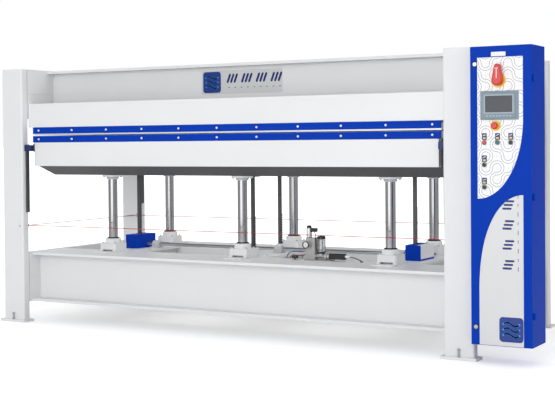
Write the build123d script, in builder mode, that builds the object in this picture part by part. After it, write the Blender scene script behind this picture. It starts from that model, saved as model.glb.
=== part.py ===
from build123d import *
import math
import os

os.makedirs("parts", exist_ok=True)

# A six-cylinder platen press: a frame of four columns, a fixed platen above, and a table that
# rises on six rams and is kept level by racks, pinions and two torsion shafts.
# Millimetres, +Z up, floor at z = 0, operator's side towards -Y, control cabinet towards +X.

# Frame
inner_width = 3372.0
frame_depth = 1550.0
frame_height = 1900.0
column_width = 196.0
column_depth = 68.0
column_wall = 6.0
column_corner = 14.0
base_thickness = 18.0
base_overhang = 20.0
levelling_bolt_d = 12.0
levelling_bolt_out = 10.5
anchor_hole_d = 11.0
anchor_out = 10.0
bolt_clearance = 0.3

# Lower girders and end ties
girder_bottom = 150.0
girder_height = 370.0
flange_thickness = 20.0
web_thickness = 12.0
girder_setback = 95.0
girder_width = 390.0
front_web_inset = 89.0
cross_deck_width = 320.0
cross_web_spread = 220.0
cross_web_height = 180.0
tie_flange = 70.0
tie_wall = 8.0

# Upper beams
upper_beam_height = 364.0
upper_beam_flange = 150.0
upper_beam_spread = 810.0

# Platens, from the closing plane outwards
fixed_face = 1404.0
daylight_at_rest = 5.0
platen_length = 3290.0
platen_depth = 1388.0
platen_thickness = 45.0
insulation_thickness = 15.0
insulation_inset = 4.0
joist_width = 60.0
fixed_joist_height = 66.0
moving_joist_height = 58.0
joist_count = 12
heat_channel_d = 16.0
heat_channel_depth = 60.0
heat_channels = 8

# Covers and edge strips
cover_sheet = 3.0
cover_top = 1641.0
cover_lip = 30.0
cover_end_gap = 2.0
strip_height = 48.0
fixed_strip_reveal = 11.0
moving_strip_reveal = 1.0
strip_thickness = 6.0
strip_screws = 11
strip_screw_pitch = 317.5
screw_head_d = 14.0
screw_head_height = 5.0
skirt_length = 3256.0
skirt_bottom = 1173.0
skirt_end_lip = 38.0

# Table frame
table_beam_height = 180.0
table_beam_flange = 145.0
table_flange_thickness = 12.0
rib_thickness = 10.0
rib_pitch = 575.0
rib_count = 5
rib_end_inset = 10.0
rib_nose_y = 660.0
rib_nose_z = 1180.0
rib_heel_y = 451.0
belly_sheet = 5.0

# Cylinders
cylinder_pitch = 1150.0
cylinder_rows = 746.0
ram_d = 70.0
ram_tail = 60.0
barrel_d = 114.0
barrel_bore = 80.0
barrel_bottom = 152.0
barrel_cap = 14.0
running_clearance = 0.05
head_size = 145.0
head_height = 48.0
gland_d = 120.0
gland_height = 35.0
seat_width = 160.0
seat_length = 235.0
seat_thickness = 8.0
packer_width = 26.0
packer_height = 11.0
ram_plate_d = 155.0
ram_plate_thickness = 14.0
ram_collar_height = 18.0
barrel_clearance = 3.0

# Levelling gear: racks on the table, pinions on two torsion shafts
module = 4.0
pinion_teeth = 18
pinion_width = 30.0
pressure_angle = math.radians(20)
backlash = 0.5
rack_bar = 22.0
rack_width = 24.0
rack_teeth = 30
rack_lead_teeth = 3
rack_foot = 80.0
rack_foot_thickness = 12.0
shaft_d = 25.0
long_shaft_z = 550.0
long_shaft_y = 40.0
long_rack_inset = 516.0
cross_shaft_z = 470.0
cross_shaft_x = 44.0
cross_rack_front_y = -215.0
cross_rack_rear_y = 175.0
box_offset = 17.0
box_width = 113.0
box_front_y = -98.0
box_length = 248.0
box_height = 106.0
box_wall = 8.0
slide_gap = 0.5
guide_height = 57.0
guide_wall = 18.0

# Table guides on the columns
rail_width = 30.0
rail_thickness = 12.0
rail_bottom = 826.0
rail_top = 1335.0
rail_y = 725.0
shoe_bottom = 1285.0
shoe_height = 45.0
shoe_wall = 12.0

# Trip rope
rope_z = 723.0
rope_d = 5.0
eye_x = 1716.0
eye_y = 690.0
eye_r = 12.0
eye_wire_d = 6.0

# Control cabinet on the right of the front right column
cabinet_width = 380.0
cabinet_depth = 230.0
cabinet_bottom = 113.0
cabinet_height = 1783.0
cabinet_front = 806.0
cabinet_sheet = 2.0
cabinet_rim = 18.0
door_depth = 20.0
door_sheet = 3.0
door_gap = 1.0
hinge_out = 8.0
hinge_r = 6.0
hinge_pin_d = 6.0
hinge_leaf = 40.0
hinge_heights = (300.0, 1000.0, 1700.0)

# Controls on the door: places measured from the press centre and the floor
button_out = 9.0
button_travel = 3.0
collar_d = 29.0
collar_height = 5.0
mushroom_d = 42.0
estop_collar_d = 60.0
main_switch_reach = 42.0

# Oil pipes
pipe_d = 22.0
pipe_z = 200.0
pipe_standoff = 26.0
port_bore = 14.0
port_bolt_d = 8.5
port_bolt_pitch = 38.0

# Derived frame sizes
half_inner = inner_width / 2
half_depth = frame_depth / 2
outer_x = half_inner + column_width
long_rack_x = half_inner - long_rack_inset
box_x = long_rack_x + box_offset
column_x = half_inner + column_width / 2
column_y = half_depth - column_depth / 2
inner_y = half_depth - column_depth
deck_top = girder_bottom + girder_height
upper_beam_bottom = fixed_face + platen_thickness + insulation_thickness + fixed_joist_height
moving_face = fixed_face - daylight_at_rest
table_top = moving_face - platen_thickness - insulation_thickness - moving_joist_height
table_bottom = table_top - table_beam_height
cover_y = platen_depth / 2 + strip_thickness
door_front = cabinet_front + door_depth
hinge_x = outer_x + cabinet_width + hinge_out

# The origin is the middle of the overall footprint, so the press centre stands off it
left_reach = outer_x + base_overhang
right_reach = hinge_x + hinge_r
front_reach = door_front + main_switch_reach
back_reach = half_depth + base_overhang
mid_x = (left_reach - right_reach) / 2
mid_y = (front_reach - back_reach) / 2


def level(z):
    """Horizontal plane at height z, centred on the press."""
    return Plane(origin=(mid_x, mid_y, z))


def facing_front(y):
    """Upright plane at depth y that faces the operator: local X and Y are X and Z."""
    return Plane(origin=(mid_x, mid_y + y, 0), x_dir=(1, 0, 0), z_dir=(0, -1, 0))


def facing_right(x):
    """Upright plane at x that faces the cabinet's side: local X and Y are Y and Z."""
    return Plane(origin=(mid_x + x, mid_y, 0), x_dir=(0, 1, 0), z_dir=(1, 0, 0))


def save(piece, name):
    """Label a finished piece and write its file."""
    piece.label = name
    export_step(piece, f"parts/{name}.step")


# Columns: rounded rectangular tubes, closed on top, drilled for the rope's eye bolts
corners = [(sx * column_x, sy * column_y) for sx in (-1, 1) for sy in (-1, 1)]
eye_spots = ((-eye_x, -1), (-eye_x, 1), (eye_x, 1))
with BuildPart() as columns:
    with BuildSketch(level(base_thickness)):
        with Locations(*corners):
            RectangleRounded(column_width, column_depth, column_corner)
    extrude(amount=frame_height - base_thickness)
    with BuildSketch(level(base_thickness)):
        with Locations(*corners):
            RectangleRounded(
                column_width - 2 * column_wall,
                column_depth - 2 * column_wall,
                column_corner - column_wall,
            )
    extrude(amount=frame_height - base_thickness - column_wall, mode=Mode.SUBTRACT)
    for x, side in eye_spots:
        with BuildSketch(facing_front(side * half_depth)):
            with Locations((x, rope_z)):
                Circle(eye_wire_d / 2 + bolt_clearance)
        extrude(amount=side * column_depth, mode=Mode.SUBTRACT)
save(columns.part, "columns")

# Base plates: one under each column, with a levelling bolt in front and an anchor hole outside
bolt_y = half_depth + levelling_bolt_out
bolt_spots = [(sx * column_x, sy * bolt_y) for sx in (-1, 1) for sy in (-1, 1)]
anchor_spots = [(sx * (outer_x + anchor_out), sy * column_y) for sx in (-1, 1) for sy in (-1, 1)]
with BuildPart() as base_plates:
    with BuildSketch(level(0)):
        with Locations(*corners):
            Rectangle(column_width + 2 * base_overhang, column_depth + 2 * base_overhang)
        with Locations(*bolt_spots):
            Circle(levelling_bolt_d / 2 + bolt_clearance, mode=Mode.SUBTRACT)
        with Locations(*anchor_spots):
            Circle(anchor_hole_d / 2, mode=Mode.SUBTRACT)
    extrude(amount=base_thickness)
save(base_plates.part, "base_plates")

# Levelling bolts: shank through the plate, lock nut on it, head high above it
bolt_top = 70.0
nut_r = levelling_bolt_d * 0.85
nut_thickness = 10.0
with BuildPart() as levelling_bolts:
    with BuildSketch(level(0)):
        with Locations(*bolt_spots):
            Circle(levelling_bolt_d / 2)
    extrude(amount=bolt_top)
    with BuildSketch(level(base_thickness)):
        with Locations(*bolt_spots):
            RegularPolygon(nut_r, 6)
    extrude(amount=nut_thickness)
    with BuildSketch(level(bolt_top)):
        with Locations(*bolt_spots):
            RegularPolygon(nut_r, 6)
    extrude(amount=-nut_thickness)
save(levelling_bolts.part, "levelling_bolts")

# Cylinder places
cylinder_spots = [
    (column * cylinder_pitch, row * cylinder_rows / 2) for column in (-1, 0, 1) for row in (-1, 1)
]

# Lower girders: welded box girders with overhanging front flanges, holes for the barrels
girder_outer_y = half_depth - girder_setback
girder_inner_y = girder_outer_y - girder_width
with BuildPart() as girders:
    for side in (-1, 1):
        middle = side * (girder_outer_y + girder_inner_y) / 2
        outer_web = side * (girder_outer_y - front_web_inset - web_thickness / 2)
        inner_web = side * (girder_inner_y + web_thickness / 2)
        with BuildSketch(facing_right(-half_inner)):
            with Locations((middle, deck_top - flange_thickness / 2)):
                Rectangle(girder_width, flange_thickness)
            with Locations((middle, girder_bottom + flange_thickness / 2)):
                Rectangle(girder_width, flange_thickness)
            with Locations((outer_web, girder_bottom + girder_height / 2)):
                Rectangle(web_thickness, girder_height)
            with Locations((inner_web, girder_bottom + girder_height / 2)):
                Rectangle(web_thickness, girder_height)
        extrude(amount=inner_width)
    with BuildSketch(level(girder_bottom)):
        with Locations(*cylinder_spots):
            Circle(barrel_d / 2 + barrel_clearance)
    extrude(amount=girder_height, mode=Mode.SUBTRACT)
save(girders.part, "girders")

# Cross girders: a deck plate on two webs under each pair of cylinders, slotted for the racks
cross_length = 2 * girder_inner_y
pitch_r = module * pinion_teeth / 2
tip_r = pitch_r + module
pinion_slot = 2 * (tip_r + 4)
long_pitch_y = long_shaft_y - pitch_r
cross_pitch_x = cross_shaft_x - pitch_r
rack_root = 1.25 * module
rack_back = rack_root + rack_bar
slot_width = rack_width + 20
long_slot_front = long_pitch_y - rack_back - 8
long_slot_rear = long_shaft_y + pinion_slot / 2
cross_slot_left = cross_pitch_x - rack_back - 8
cross_slot_right = cross_shaft_x + pinion_slot / 2
cross_rack_ys = (cross_rack_front_y, cross_rack_rear_y)
with BuildPart() as cross_girders:
    with BuildSketch(facing_front(-girder_inner_y)):
        with GridLocations(cylinder_pitch, 0, 3, 1):
            with Locations((0, deck_top - flange_thickness / 2)):
                Rectangle(cross_deck_width, flange_thickness)
            with Locations((0, deck_top - flange_thickness - cross_web_height / 2)):
                with GridLocations(cross_web_spread, 0, 2, 1):
                    Rectangle(web_thickness, cross_web_height)
    extrude(amount=-cross_length)
    with BuildSketch(level(deck_top)):
        with Locations(
            (-long_rack_x, (long_slot_front + long_slot_rear) / 2),
            (long_rack_x, (long_slot_front + long_slot_rear) / 2),
        ):
            Rectangle(pinion_width + 14, long_slot_rear - long_slot_front)
        with Locations(*[((cross_slot_left + cross_slot_right) / 2, y) for y in cross_rack_ys]):
            Rectangle(cross_slot_right - cross_slot_left, pinion_width + 14)
    extrude(amount=-flange_thickness, mode=Mode.SUBTRACT)
save(cross_girders.part, "cross_girders")

# End ties: two channels, one on the other, between the columns at each end, below and above
pipe_y = cylinder_rows / 2 + barrel_d / 2 + pipe_standoff
tie_height = girder_height / 2
upper_tie_bottom = frame_height - girder_height
with BuildPart() as end_ties:
    for bottom in (girder_bottom, upper_tie_bottom):
        for step in (0, 1):
            low = bottom + step * tie_height
            for side in (-1, 1):
                back = side * (half_inner + tie_wall / 2)
                lip = side * (half_inner + tie_flange / 2)
                with BuildSketch(facing_front(-inner_y)):
                    with Locations((back, low + tie_height / 2)):
                        Rectangle(tie_wall, tie_height)
                    with Locations((lip, low + tie_wall / 2), (lip, low + tie_height - tie_wall / 2)):
                        Rectangle(tie_flange, tie_wall)
                extrude(amount=-2 * inner_y)
    with BuildSketch(facing_right(half_inner)):
        with Locations((-pipe_y, pipe_z), (pipe_y, pipe_z)):
            Circle(pipe_d / 2 + bolt_clearance)
    extrude(amount=tie_wall, mode=Mode.SUBTRACT)
save(end_ties.part, "end_ties")

# Upper beams: two I-beams over the cylinder rows
with BuildPart() as upper_beams:
    with BuildSketch(facing_right(-half_inner)):
        with GridLocations(upper_beam_spread, 0, 2, 1):
            with Locations((0, upper_beam_bottom + flange_thickness / 2)):
                Rectangle(upper_beam_flange, flange_thickness)
            with Locations((0, upper_beam_bottom + upper_beam_height - flange_thickness / 2)):
                Rectangle(upper_beam_flange, flange_thickness)
            with Locations((0, upper_beam_bottom + upper_beam_height / 2)):
                Rectangle(web_thickness, upper_beam_height)
    extrude(amount=inner_width)
save(upper_beams.part, "upper_beams")

# Platens: thick plates with heating channels drilled in from both ends
channel_pitch = platen_depth / (heat_channels + 1)


def platen(name, bottom):
    """One drilled platen whose underside lies at the given height."""
    with BuildPart() as plate:
        with BuildSketch(level(bottom)):
            Rectangle(platen_length, platen_depth)
        extrude(amount=platen_thickness)
        for end in (-1, 1):
            with BuildSketch(facing_right(end * platen_length / 2)):
                with Locations((0, bottom + platen_thickness / 2)):
                    with GridLocations(channel_pitch, 0, heat_channels, 1):
                        Circle(heat_channel_d / 2)
            extrude(amount=-end * heat_channel_depth, mode=Mode.SUBTRACT)
    save(plate.part, name)


def insulation(name, bottom):
    """Board that keeps the platen's heat from the structure."""
    with BuildPart() as board:
        with BuildSketch(level(bottom)):
            Rectangle(platen_length - 2 * insulation_inset, platen_depth - 2 * insulation_inset)
        extrude(amount=insulation_thickness)
    save(board.part, name)


joist_pitch = (platen_length - joist_width) / (joist_count - 1)
joist_length = 2 * (cover_y - cover_sheet)


def joists(name, bottom, height):
    """Row of solid bars across the press that spread the load under a platen."""
    with BuildPart() as bars:
        with BuildSketch(level(bottom)):
            with GridLocations(joist_pitch, 0, joist_count, 1):
                Rectangle(joist_width, joist_length)
        extrude(amount=height)
    save(bars.part, name)


platen("fixed_platen", fixed_face)
insulation("fixed_insulation", fixed_face + platen_thickness)
joists("fixed_joists", upper_beam_bottom - fixed_joist_height, fixed_joist_height)
platen("moving_platen", moving_face - platen_thickness)
insulation("moving_insulation", moving_face - platen_thickness - insulation_thickness)
joists("moving_joists", table_top, moving_joist_height)

# Edge strips along the platens' long edges, with a row of screws
fixed_strip_z = fixed_face + fixed_strip_reveal
moving_strip_z = moving_face - moving_strip_reveal - strip_height


def edge_strips(name, bottom):
    """Front and rear strip of one platen, each with its row of round-headed screws."""
    with BuildPart() as strips:
        with BuildSketch(level(bottom)):
            with GridLocations(0, platen_depth + strip_thickness, 1, 2):
                Rectangle(platen_length, strip_thickness)
        extrude(amount=strip_height)
        for side in (-1, 1):
            face = Plane(
                origin=(mid_x, mid_y + side * cover_y, bottom + strip_height / 2),
                x_dir=(1, 0, 0),
                z_dir=(0, side, 0),
            )
            with BuildSketch(face):
                with GridLocations(strip_screw_pitch, 0, strip_screws, 1):
                    RegularPolygon(screw_head_d / 2, 12)
            extrude(amount=screw_head_height, taper=20)
    save(strips.part, name)


edge_strips("fixed_edge_strips", fixed_strip_z)
edge_strips("moving_edge_strips", moving_strip_z)

# Upper covers: folded sheets in front of and behind the fixed platen's joists
cover_bottom = fixed_strip_z + strip_height + 1
with BuildPart() as upper_covers:
    for side in (-1, 1):
        sheet_y = side * (cover_y - cover_sheet / 2)
        lip_y = side * (cover_y - cover_lip / 2)
        with BuildSketch(facing_right(-half_inner + cover_end_gap)):
            with Locations((sheet_y, (cover_top + cover_bottom) / 2)):
                Rectangle(cover_sheet, cover_top - cover_bottom)
            with Locations((lip_y, cover_top - cover_sheet / 2)):
                Rectangle(cover_lip, cover_sheet)
        extrude(amount=inner_width - 2 * cover_end_gap)
save(upper_covers.part, "upper_covers")

# Table skirts: sheets under the moving strips, with end lips folded back
skirt_top = moving_strip_z - 1
with BuildPart() as table_skirts:
    for side in (-1, 1):
        sheet_y = side * (cover_y - cover_sheet / 2)
        lip_y = side * (cover_y - skirt_end_lip / 2)
        with BuildSketch(level(skirt_bottom)):
            with Locations((0, sheet_y)):
                Rectangle(skirt_length, cover_sheet)
            with Locations((0, lip_y)):
                with GridLocations(skirt_length - cover_sheet, 0, 2, 1):
                    Rectangle(cover_sheet, skirt_end_lip)
        extrude(amount=skirt_top - skirt_bottom)
        with BuildSketch(level(skirt_bottom)):
            with Locations((0, side * (cover_y - cover_lip / 2))):
                Rectangle(skirt_length, cover_lip)
        extrude(amount=cover_sheet)
    with BuildSketch(level(table_top)):
        with GridLocations(2 * (platen_length / 2 - joist_width / 2), 0, 2, 1):
            Rectangle(joist_width + 1, joist_length)
    extrude(amount=skirt_top - table_top, mode=Mode.SUBTRACT)
save(table_skirts.part, "table_skirts")

# Table frame: two I-beams over the rams, tied by ribs whose noses taper towards the edges, with a
# sloping belly sheet on the noses along each side
end_rib_x = platen_length / 2 - rib_end_inset
with BuildPart() as table_frame:
    with BuildSketch(facing_right(-platen_length / 2)):
        with GridLocations(cylinder_rows, 0, 2, 1):
            with Locations((0, table_bottom + table_flange_thickness / 2)):
                Rectangle(table_beam_flange, table_flange_thickness)
            with Locations((0, table_top - table_flange_thickness / 2)):
                Rectangle(table_beam_flange, table_flange_thickness)
            with Locations((0, table_bottom + table_beam_height / 2)):
                Rectangle(rib_thickness, table_beam_height)
    extrude(amount=platen_length)
    rib_half = [
        (0, table_top),
        (cover_y - 10, table_top),
        (cover_y - 10, rib_nose_z),
        (rib_nose_y, rib_nose_z),
        (rib_heel_y, table_bottom),
        (0, table_bottom),
    ]
    belly_half = [
        (rib_nose_y, rib_nose_z),
        (rib_heel_y, table_bottom),
        (rib_heel_y, table_bottom + belly_sheet),
        (rib_nose_y, rib_nose_z + belly_sheet),
    ]
    rib_xs = [(place - (rib_count - 1) / 2) * rib_pitch for place in range(rib_count)]
    for x in rib_xs + [-end_rib_x, end_rib_x]:
        with BuildSketch(facing_right(x - rib_thickness / 2)):
            Polygon(*rib_half, align=None)
            mirror(about=Plane.YZ)
        extrude(amount=rib_thickness)
    with BuildSketch(facing_right(-platen_length / 2)):
        Polygon(*belly_half, align=None)
        mirror(about=Plane.YZ)
    extrude(amount=platen_length)
save(table_frame.part, "table_frame")

# Cylinders: seats on the deck, barrels hanging through the girders, heads with glands
head_bottom = deck_top + seat_thickness + packer_height
gland_top = head_bottom + head_height + gland_height
seat_forward = 20.0
with BuildPart() as cylinder_seats:
    with BuildSketch(level(deck_top)):
        for x, y in cylinder_spots:
            with Locations((x, y + math.copysign(seat_forward, y))):
                Rectangle(seat_width, seat_length)
        with Locations(*cylinder_spots):
            Circle(barrel_d / 2 + barrel_clearance, mode=Mode.SUBTRACT)
    extrude(amount=seat_thickness)
    with BuildSketch(level(deck_top + seat_thickness)):
        with Locations(*cylinder_spots):
            with GridLocations(head_size - packer_width, 0, 2, 1):
                Rectangle(packer_width, head_size)
        with Locations(*cylinder_spots):
            Circle(barrel_d / 2 + barrel_clearance, mode=Mode.SUBTRACT)
    extrude(amount=packer_height)
save(cylinder_seats.part, "cylinder_seats")

with BuildPart() as cylinder_barrels:
    with BuildSketch(level(barrel_bottom)):
        with Locations(*cylinder_spots):
            Circle(barrel_d / 2)
    extrude(amount=head_bottom - barrel_bottom)
    with BuildSketch(level(barrel_bottom + barrel_cap)):
        with Locations(*cylinder_spots):
            Circle(barrel_bore / 2)
    extrude(amount=head_bottom - barrel_bottom - barrel_cap, mode=Mode.SUBTRACT)
save(cylinder_barrels.part, "cylinder_barrels")

with BuildPart() as cylinder_heads:
    with BuildSketch(level(head_bottom)):
        with Locations(*cylinder_spots):
            Rectangle(head_size, head_size)
    extrude(amount=head_height)
    chamfer(cylinder_heads.edges().filter_by(Axis.Z), 8)
    with BuildSketch(level(head_bottom + head_height)):
        with Locations(*cylinder_spots):
            Circle(gland_d / 2)
    extrude(amount=gland_height)
    chamfer(cylinder_heads.faces().sort_by(Axis.Z)[-6:].edges(), 6)
    with BuildSketch(level(head_bottom)):
        with Locations(*cylinder_spots):
            Circle(ram_d / 2 + running_clearance)
    extrude(amount=head_height + gland_height, mode=Mode.SUBTRACT)
save(cylinder_heads.part, "cylinder_heads")

# Rams: plungers guided by the glands, with plates that bolt under the table beams
ram_bottom = deck_top - ram_tail
ram_top = table_bottom - ram_plate_thickness
with BuildPart() as rams:
    with BuildSketch(level(ram_bottom)):
        with Locations(*cylinder_spots):
            Circle(ram_d / 2)
    extrude(amount=ram_top - ram_bottom)
    chamfer(rams.faces().sort_by(Axis.Z)[:6].edges(), 3)
save(rams.part, "rams")

collar_r = ram_d / 2 + 13
with BuildPart() as ram_plates:
    with BuildSketch(level(ram_top)):
        with Locations(*cylinder_spots):
            Circle(ram_plate_d / 2)
    extrude(amount=ram_plate_thickness)
    with BuildSketch(level(ram_top)):
        with Locations(*cylinder_spots):
            Circle(collar_r)
    extrude(amount=-ram_collar_height, taper=12)
    with BuildSketch(level(ram_top)):
        with Locations(*cylinder_spots):
            Circle(ram_d / 2 + bolt_clearance)
    extrude(amount=-ram_collar_height, mode=Mode.SUBTRACT)
save(ram_plates.part, "ram_plates")


# Levelling gear
def involute(base_r, radius):
    """Polar angle of the involute of a base circle, where it reaches the given radius."""
    roll = math.sqrt(max((radius / base_r) ** 2 - 1, 0))
    return roll - math.atan(roll)


def pinion_tooth():
    """Outline of one pinion tooth on the local +X axis, from the root circle to the tip."""
    base_r = pitch_r * math.cos(pressure_angle)
    root_r = pitch_r - rack_root
    half_pitch_angle = (math.pi * module / 2 - backlash) / 2 / pitch_r
    flank_steps = 4
    flank = []
    for step in range(flank_steps):
        radius = base_r + (tip_r - base_r) * step / (flank_steps - 1)
        angle = half_pitch_angle + involute(base_r, pitch_r) - involute(base_r, radius)
        flank.append((radius, angle))
    flank.insert(0, (root_r - 1, flank[0][1]))
    upper = [(r * math.cos(a), r * math.sin(a)) for r, a in flank]
    lower = [(x, -y) for x, y in reversed(upper)]
    return upper + lower


def rack_tooth():
    """Outline of one rack tooth pointing along local +X, with the pitch line at x = 0."""
    half_pitch = (math.pi * module / 2 - backlash) / 2
    slope = math.tan(pressure_angle)
    tip_half = half_pitch - module * slope
    root_half = half_pitch + rack_root * slope
    return [(-rack_root, -root_half), (module, -tip_half), (module, tip_half), (-rack_root, root_half)]


tooth_step = 360 / pinion_teeth
rack_pitch = math.pi * module


def torsion_shaft(name, start, length, pinion_places, turned):
    """Shaft with keyed pinions on it; turned aims a tooth gap at the racks."""
    with BuildPart() as shaft:
        with BuildSketch(start):
            Circle(shaft_d / 2)
        extrude(amount=length)
        for place in pinion_places:
            with BuildSketch(start.offset(place - pinion_width / 2)):
                Circle(pitch_r - rack_root)
                with PolarLocations(0, pinion_teeth, start_angle=turned):
                    Polygon(*pinion_tooth(), align=None)
            extrude(amount=pinion_width)
            with BuildSketch(start.offset(place - pinion_width / 2 - 6)):
                Circle(pitch_r * 0.62)
            extrude(amount=pinion_width + 12)
    save(shaft.part, name)


long_shaft_half = box_x + box_width / 2 - box_wall - 1
long_start = Plane(
    origin=(mid_x - long_shaft_half, mid_y + long_shaft_y, long_shaft_z),
    x_dir=(0, 1, 0),
    z_dir=(1, 0, 0),
)
torsion_shaft(
    "long_shaft",
    long_start,
    2 * long_shaft_half,
    (long_shaft_half - long_rack_x, long_shaft_half + long_rack_x),
    180 + tooth_step / 2,
)
cross_bearing_thickness = 22.0
cross_shaft_front = cross_rack_front_y - pinion_width - cross_bearing_thickness - 6
cross_shaft_rear = cross_rack_rear_y + pinion_width + cross_bearing_thickness + 6
cross_start = Plane(
    origin=(mid_x + cross_shaft_x, mid_y + cross_shaft_rear, cross_shaft_z),
    x_dir=(1, 0, 0),
    z_dir=(0, -1, 0),
)
torsion_shaft(
    "cross_shaft",
    cross_start,
    cross_shaft_rear - cross_shaft_front,
    (cross_shaft_rear - cross_rack_rear_y, cross_shaft_rear - cross_rack_front_y),
    180 + tooth_step / 2,
)


def rack_outline(face, pinion_z):
    """Side view of a rack that hangs under the table: local X points from the bar to the teeth."""
    first = pinion_z - rack_lead_teeth * rack_pitch
    bar_bottom = first - rack_pitch / 2
    bar_top = table_bottom - rack_foot_thickness
    with BuildSketch(face) as outline:
        with Locations((-rack_root - rack_bar / 2, (bar_bottom + bar_top) / 2)):
            Rectangle(rack_bar, bar_top - bar_bottom)
        with Locations(*[(0, first + place * rack_pitch) for place in range(rack_teeth)]):
            Polygon(*rack_tooth(), align=None)
    return outline.sketch


def foot_outline(face):
    """Side view of the plate that bolts a rack to the table."""
    with BuildSketch(face) as outline:
        with Locations((-rack_root - rack_bar / 2, table_bottom - rack_foot_thickness / 2)):
            Rectangle(rack_foot, rack_foot_thickness)
    return outline.sketch


with BuildPart() as long_racks:
    for side in (-1, 1):
        origin = (mid_x + side * long_rack_x, mid_y + long_pitch_y, 0)
        face = Plane(origin=origin, x_dir=(0, 1, 0), z_dir=(1, 0, 0))
        extrude(rack_outline(face, long_shaft_z), amount=rack_width / 2, both=True)
        extrude(foot_outline(face), amount=rack_foot / 2, both=True)
save(long_racks.part, "long_racks")

with BuildPart() as cross_racks:
    for y in cross_rack_ys:
        origin = (mid_x + cross_pitch_x, mid_y + y, 0)
        face = Plane(origin=origin, x_dir=(1, 0, 0), z_dir=(0, -1, 0))
        extrude(rack_outline(face, cross_shaft_z), amount=rack_width / 2, both=True)
        extrude(foot_outline(face), amount=rack_foot / 2, both=True)
save(cross_racks.part, "cross_racks")

# Pinion boxes: housings on the outer cross girders that guide the end racks and carry the shaft
box_middle_y = box_front_y + box_length / 2
box_cavity_length = box_length - 2 * box_wall
with BuildPart() as pinion_boxes:
    with BuildSketch(level(deck_top)):
        with Locations((-box_x, box_middle_y), (box_x, box_middle_y)):
            RectangleRounded(box_width, box_length, 6)
    extrude(amount=box_height)
    with BuildSketch(level(deck_top)):
        with Locations((-box_x, box_middle_y), (box_x, box_middle_y)):
            Rectangle(box_width - 2 * box_wall, box_cavity_length)
    extrude(amount=box_height - box_wall, mode=Mode.SUBTRACT)
    with BuildSketch(level(deck_top)):
        slot_middle_y = long_pitch_y + (module - rack_back) / 2
        with Locations((-long_rack_x, slot_middle_y), (long_rack_x, slot_middle_y)):
            Rectangle(rack_width + 2 * slide_gap, rack_back + module + 2 * slide_gap)
    extrude(amount=box_height, mode=Mode.SUBTRACT)
    with BuildSketch(facing_right(0)):
        with Locations((long_shaft_y, long_shaft_z)):
            Circle(shaft_d / 2 + running_clearance)
    extrude(amount=box_x + box_width / 2 - box_wall - 0.5, both=True, mode=Mode.SUBTRACT)
save(pinion_boxes.part, "pinion_boxes")

# Rack guides: collars on the middle cross girder round the front and rear racks
guide_length = rack_back + module + 2 * slide_gap
guide_middle_x = cross_pitch_x + (module - rack_back) / 2
guide_spots = [(guide_middle_x, y) for y in cross_rack_ys]
with BuildPart() as rack_guides:
    with BuildSketch(level(deck_top)):
        with Locations(*[((cross_slot_left + cross_slot_right) / 2, y) for y in cross_rack_ys]):
            Rectangle(cross_slot_right - cross_slot_left + guide_wall, pinion_width + 14 + guide_wall)
    extrude(amount=12)
    with BuildSketch(level(deck_top)):
        with Locations(*guide_spots):
            RectangleRounded(guide_length + guide_wall, rack_width + 2 * guide_wall, 5)
    extrude(amount=guide_height)
    with BuildSketch(level(deck_top)):
        with Locations(*guide_spots):
            Rectangle(guide_length, rack_width + 2 * slide_gap)
    extrude(amount=guide_height, mode=Mode.SUBTRACT)
save(rack_guides.part, "rack_guides")

# Shaft bearings: blocks on the decks for the long shaft, hangers under the deck for the cross shaft
bearing_width = 60.0
bearing_foot = 96.0
long_bearing_xs = (-long_rack_x + 130, 60.0, long_rack_x - 130)
cross_bearing_gap = pinion_width / 2 + 6 + cross_bearing_thickness / 2 + 1
cross_bearing_ys = (cross_rack_front_y - cross_bearing_gap, cross_rack_rear_y + cross_bearing_gap)
with BuildPart() as shaft_bearings:
    for x in long_bearing_xs:
        with BuildSketch(facing_right(x - bearing_width / 2)):
            with Locations((long_shaft_y, deck_top + 6)):
                Rectangle(bearing_foot, 12)
            with Locations((long_shaft_y, long_shaft_z)):
                Circle(26)
            with Locations((long_shaft_y, (deck_top + long_shaft_z) / 2)):
                Rectangle(52, long_shaft_z - deck_top)
            with Locations((long_shaft_y, long_shaft_z)):
                Circle(shaft_d / 2 + running_clearance, mode=Mode.SUBTRACT)
        extrude(amount=bearing_width)
    for y in cross_bearing_ys:
        with BuildSketch(facing_front(y + cross_bearing_thickness / 2)):
            with Locations((cross_shaft_x, deck_top - flange_thickness - 6)):
                Rectangle(bearing_foot, 12)
            with Locations((cross_shaft_x, cross_shaft_z)):
                Circle(24)
            with Locations((cross_shaft_x, (deck_top - flange_thickness + cross_shaft_z) / 2)):
                Rectangle(48, deck_top - flange_thickness - cross_shaft_z)
            with Locations((cross_shaft_x, cross_shaft_z)):
                Circle(shaft_d / 2 + running_clearance, mode=Mode.SUBTRACT)
        extrude(amount=cross_bearing_thickness)
save(shaft_bearings.part, "shaft_bearings")

# Guide rails on the columns' inner faces, and the shoes on the table that run on them
with BuildPart() as guide_rails:
    with BuildSketch(level(rail_bottom)):
        with GridLocations(inner_width - rail_thickness, 2 * rail_y, 2, 2):
            Rectangle(rail_thickness, rail_width)
    extrude(amount=rail_top - rail_bottom)
save(guide_rails.part, "guide_rails")

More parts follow.
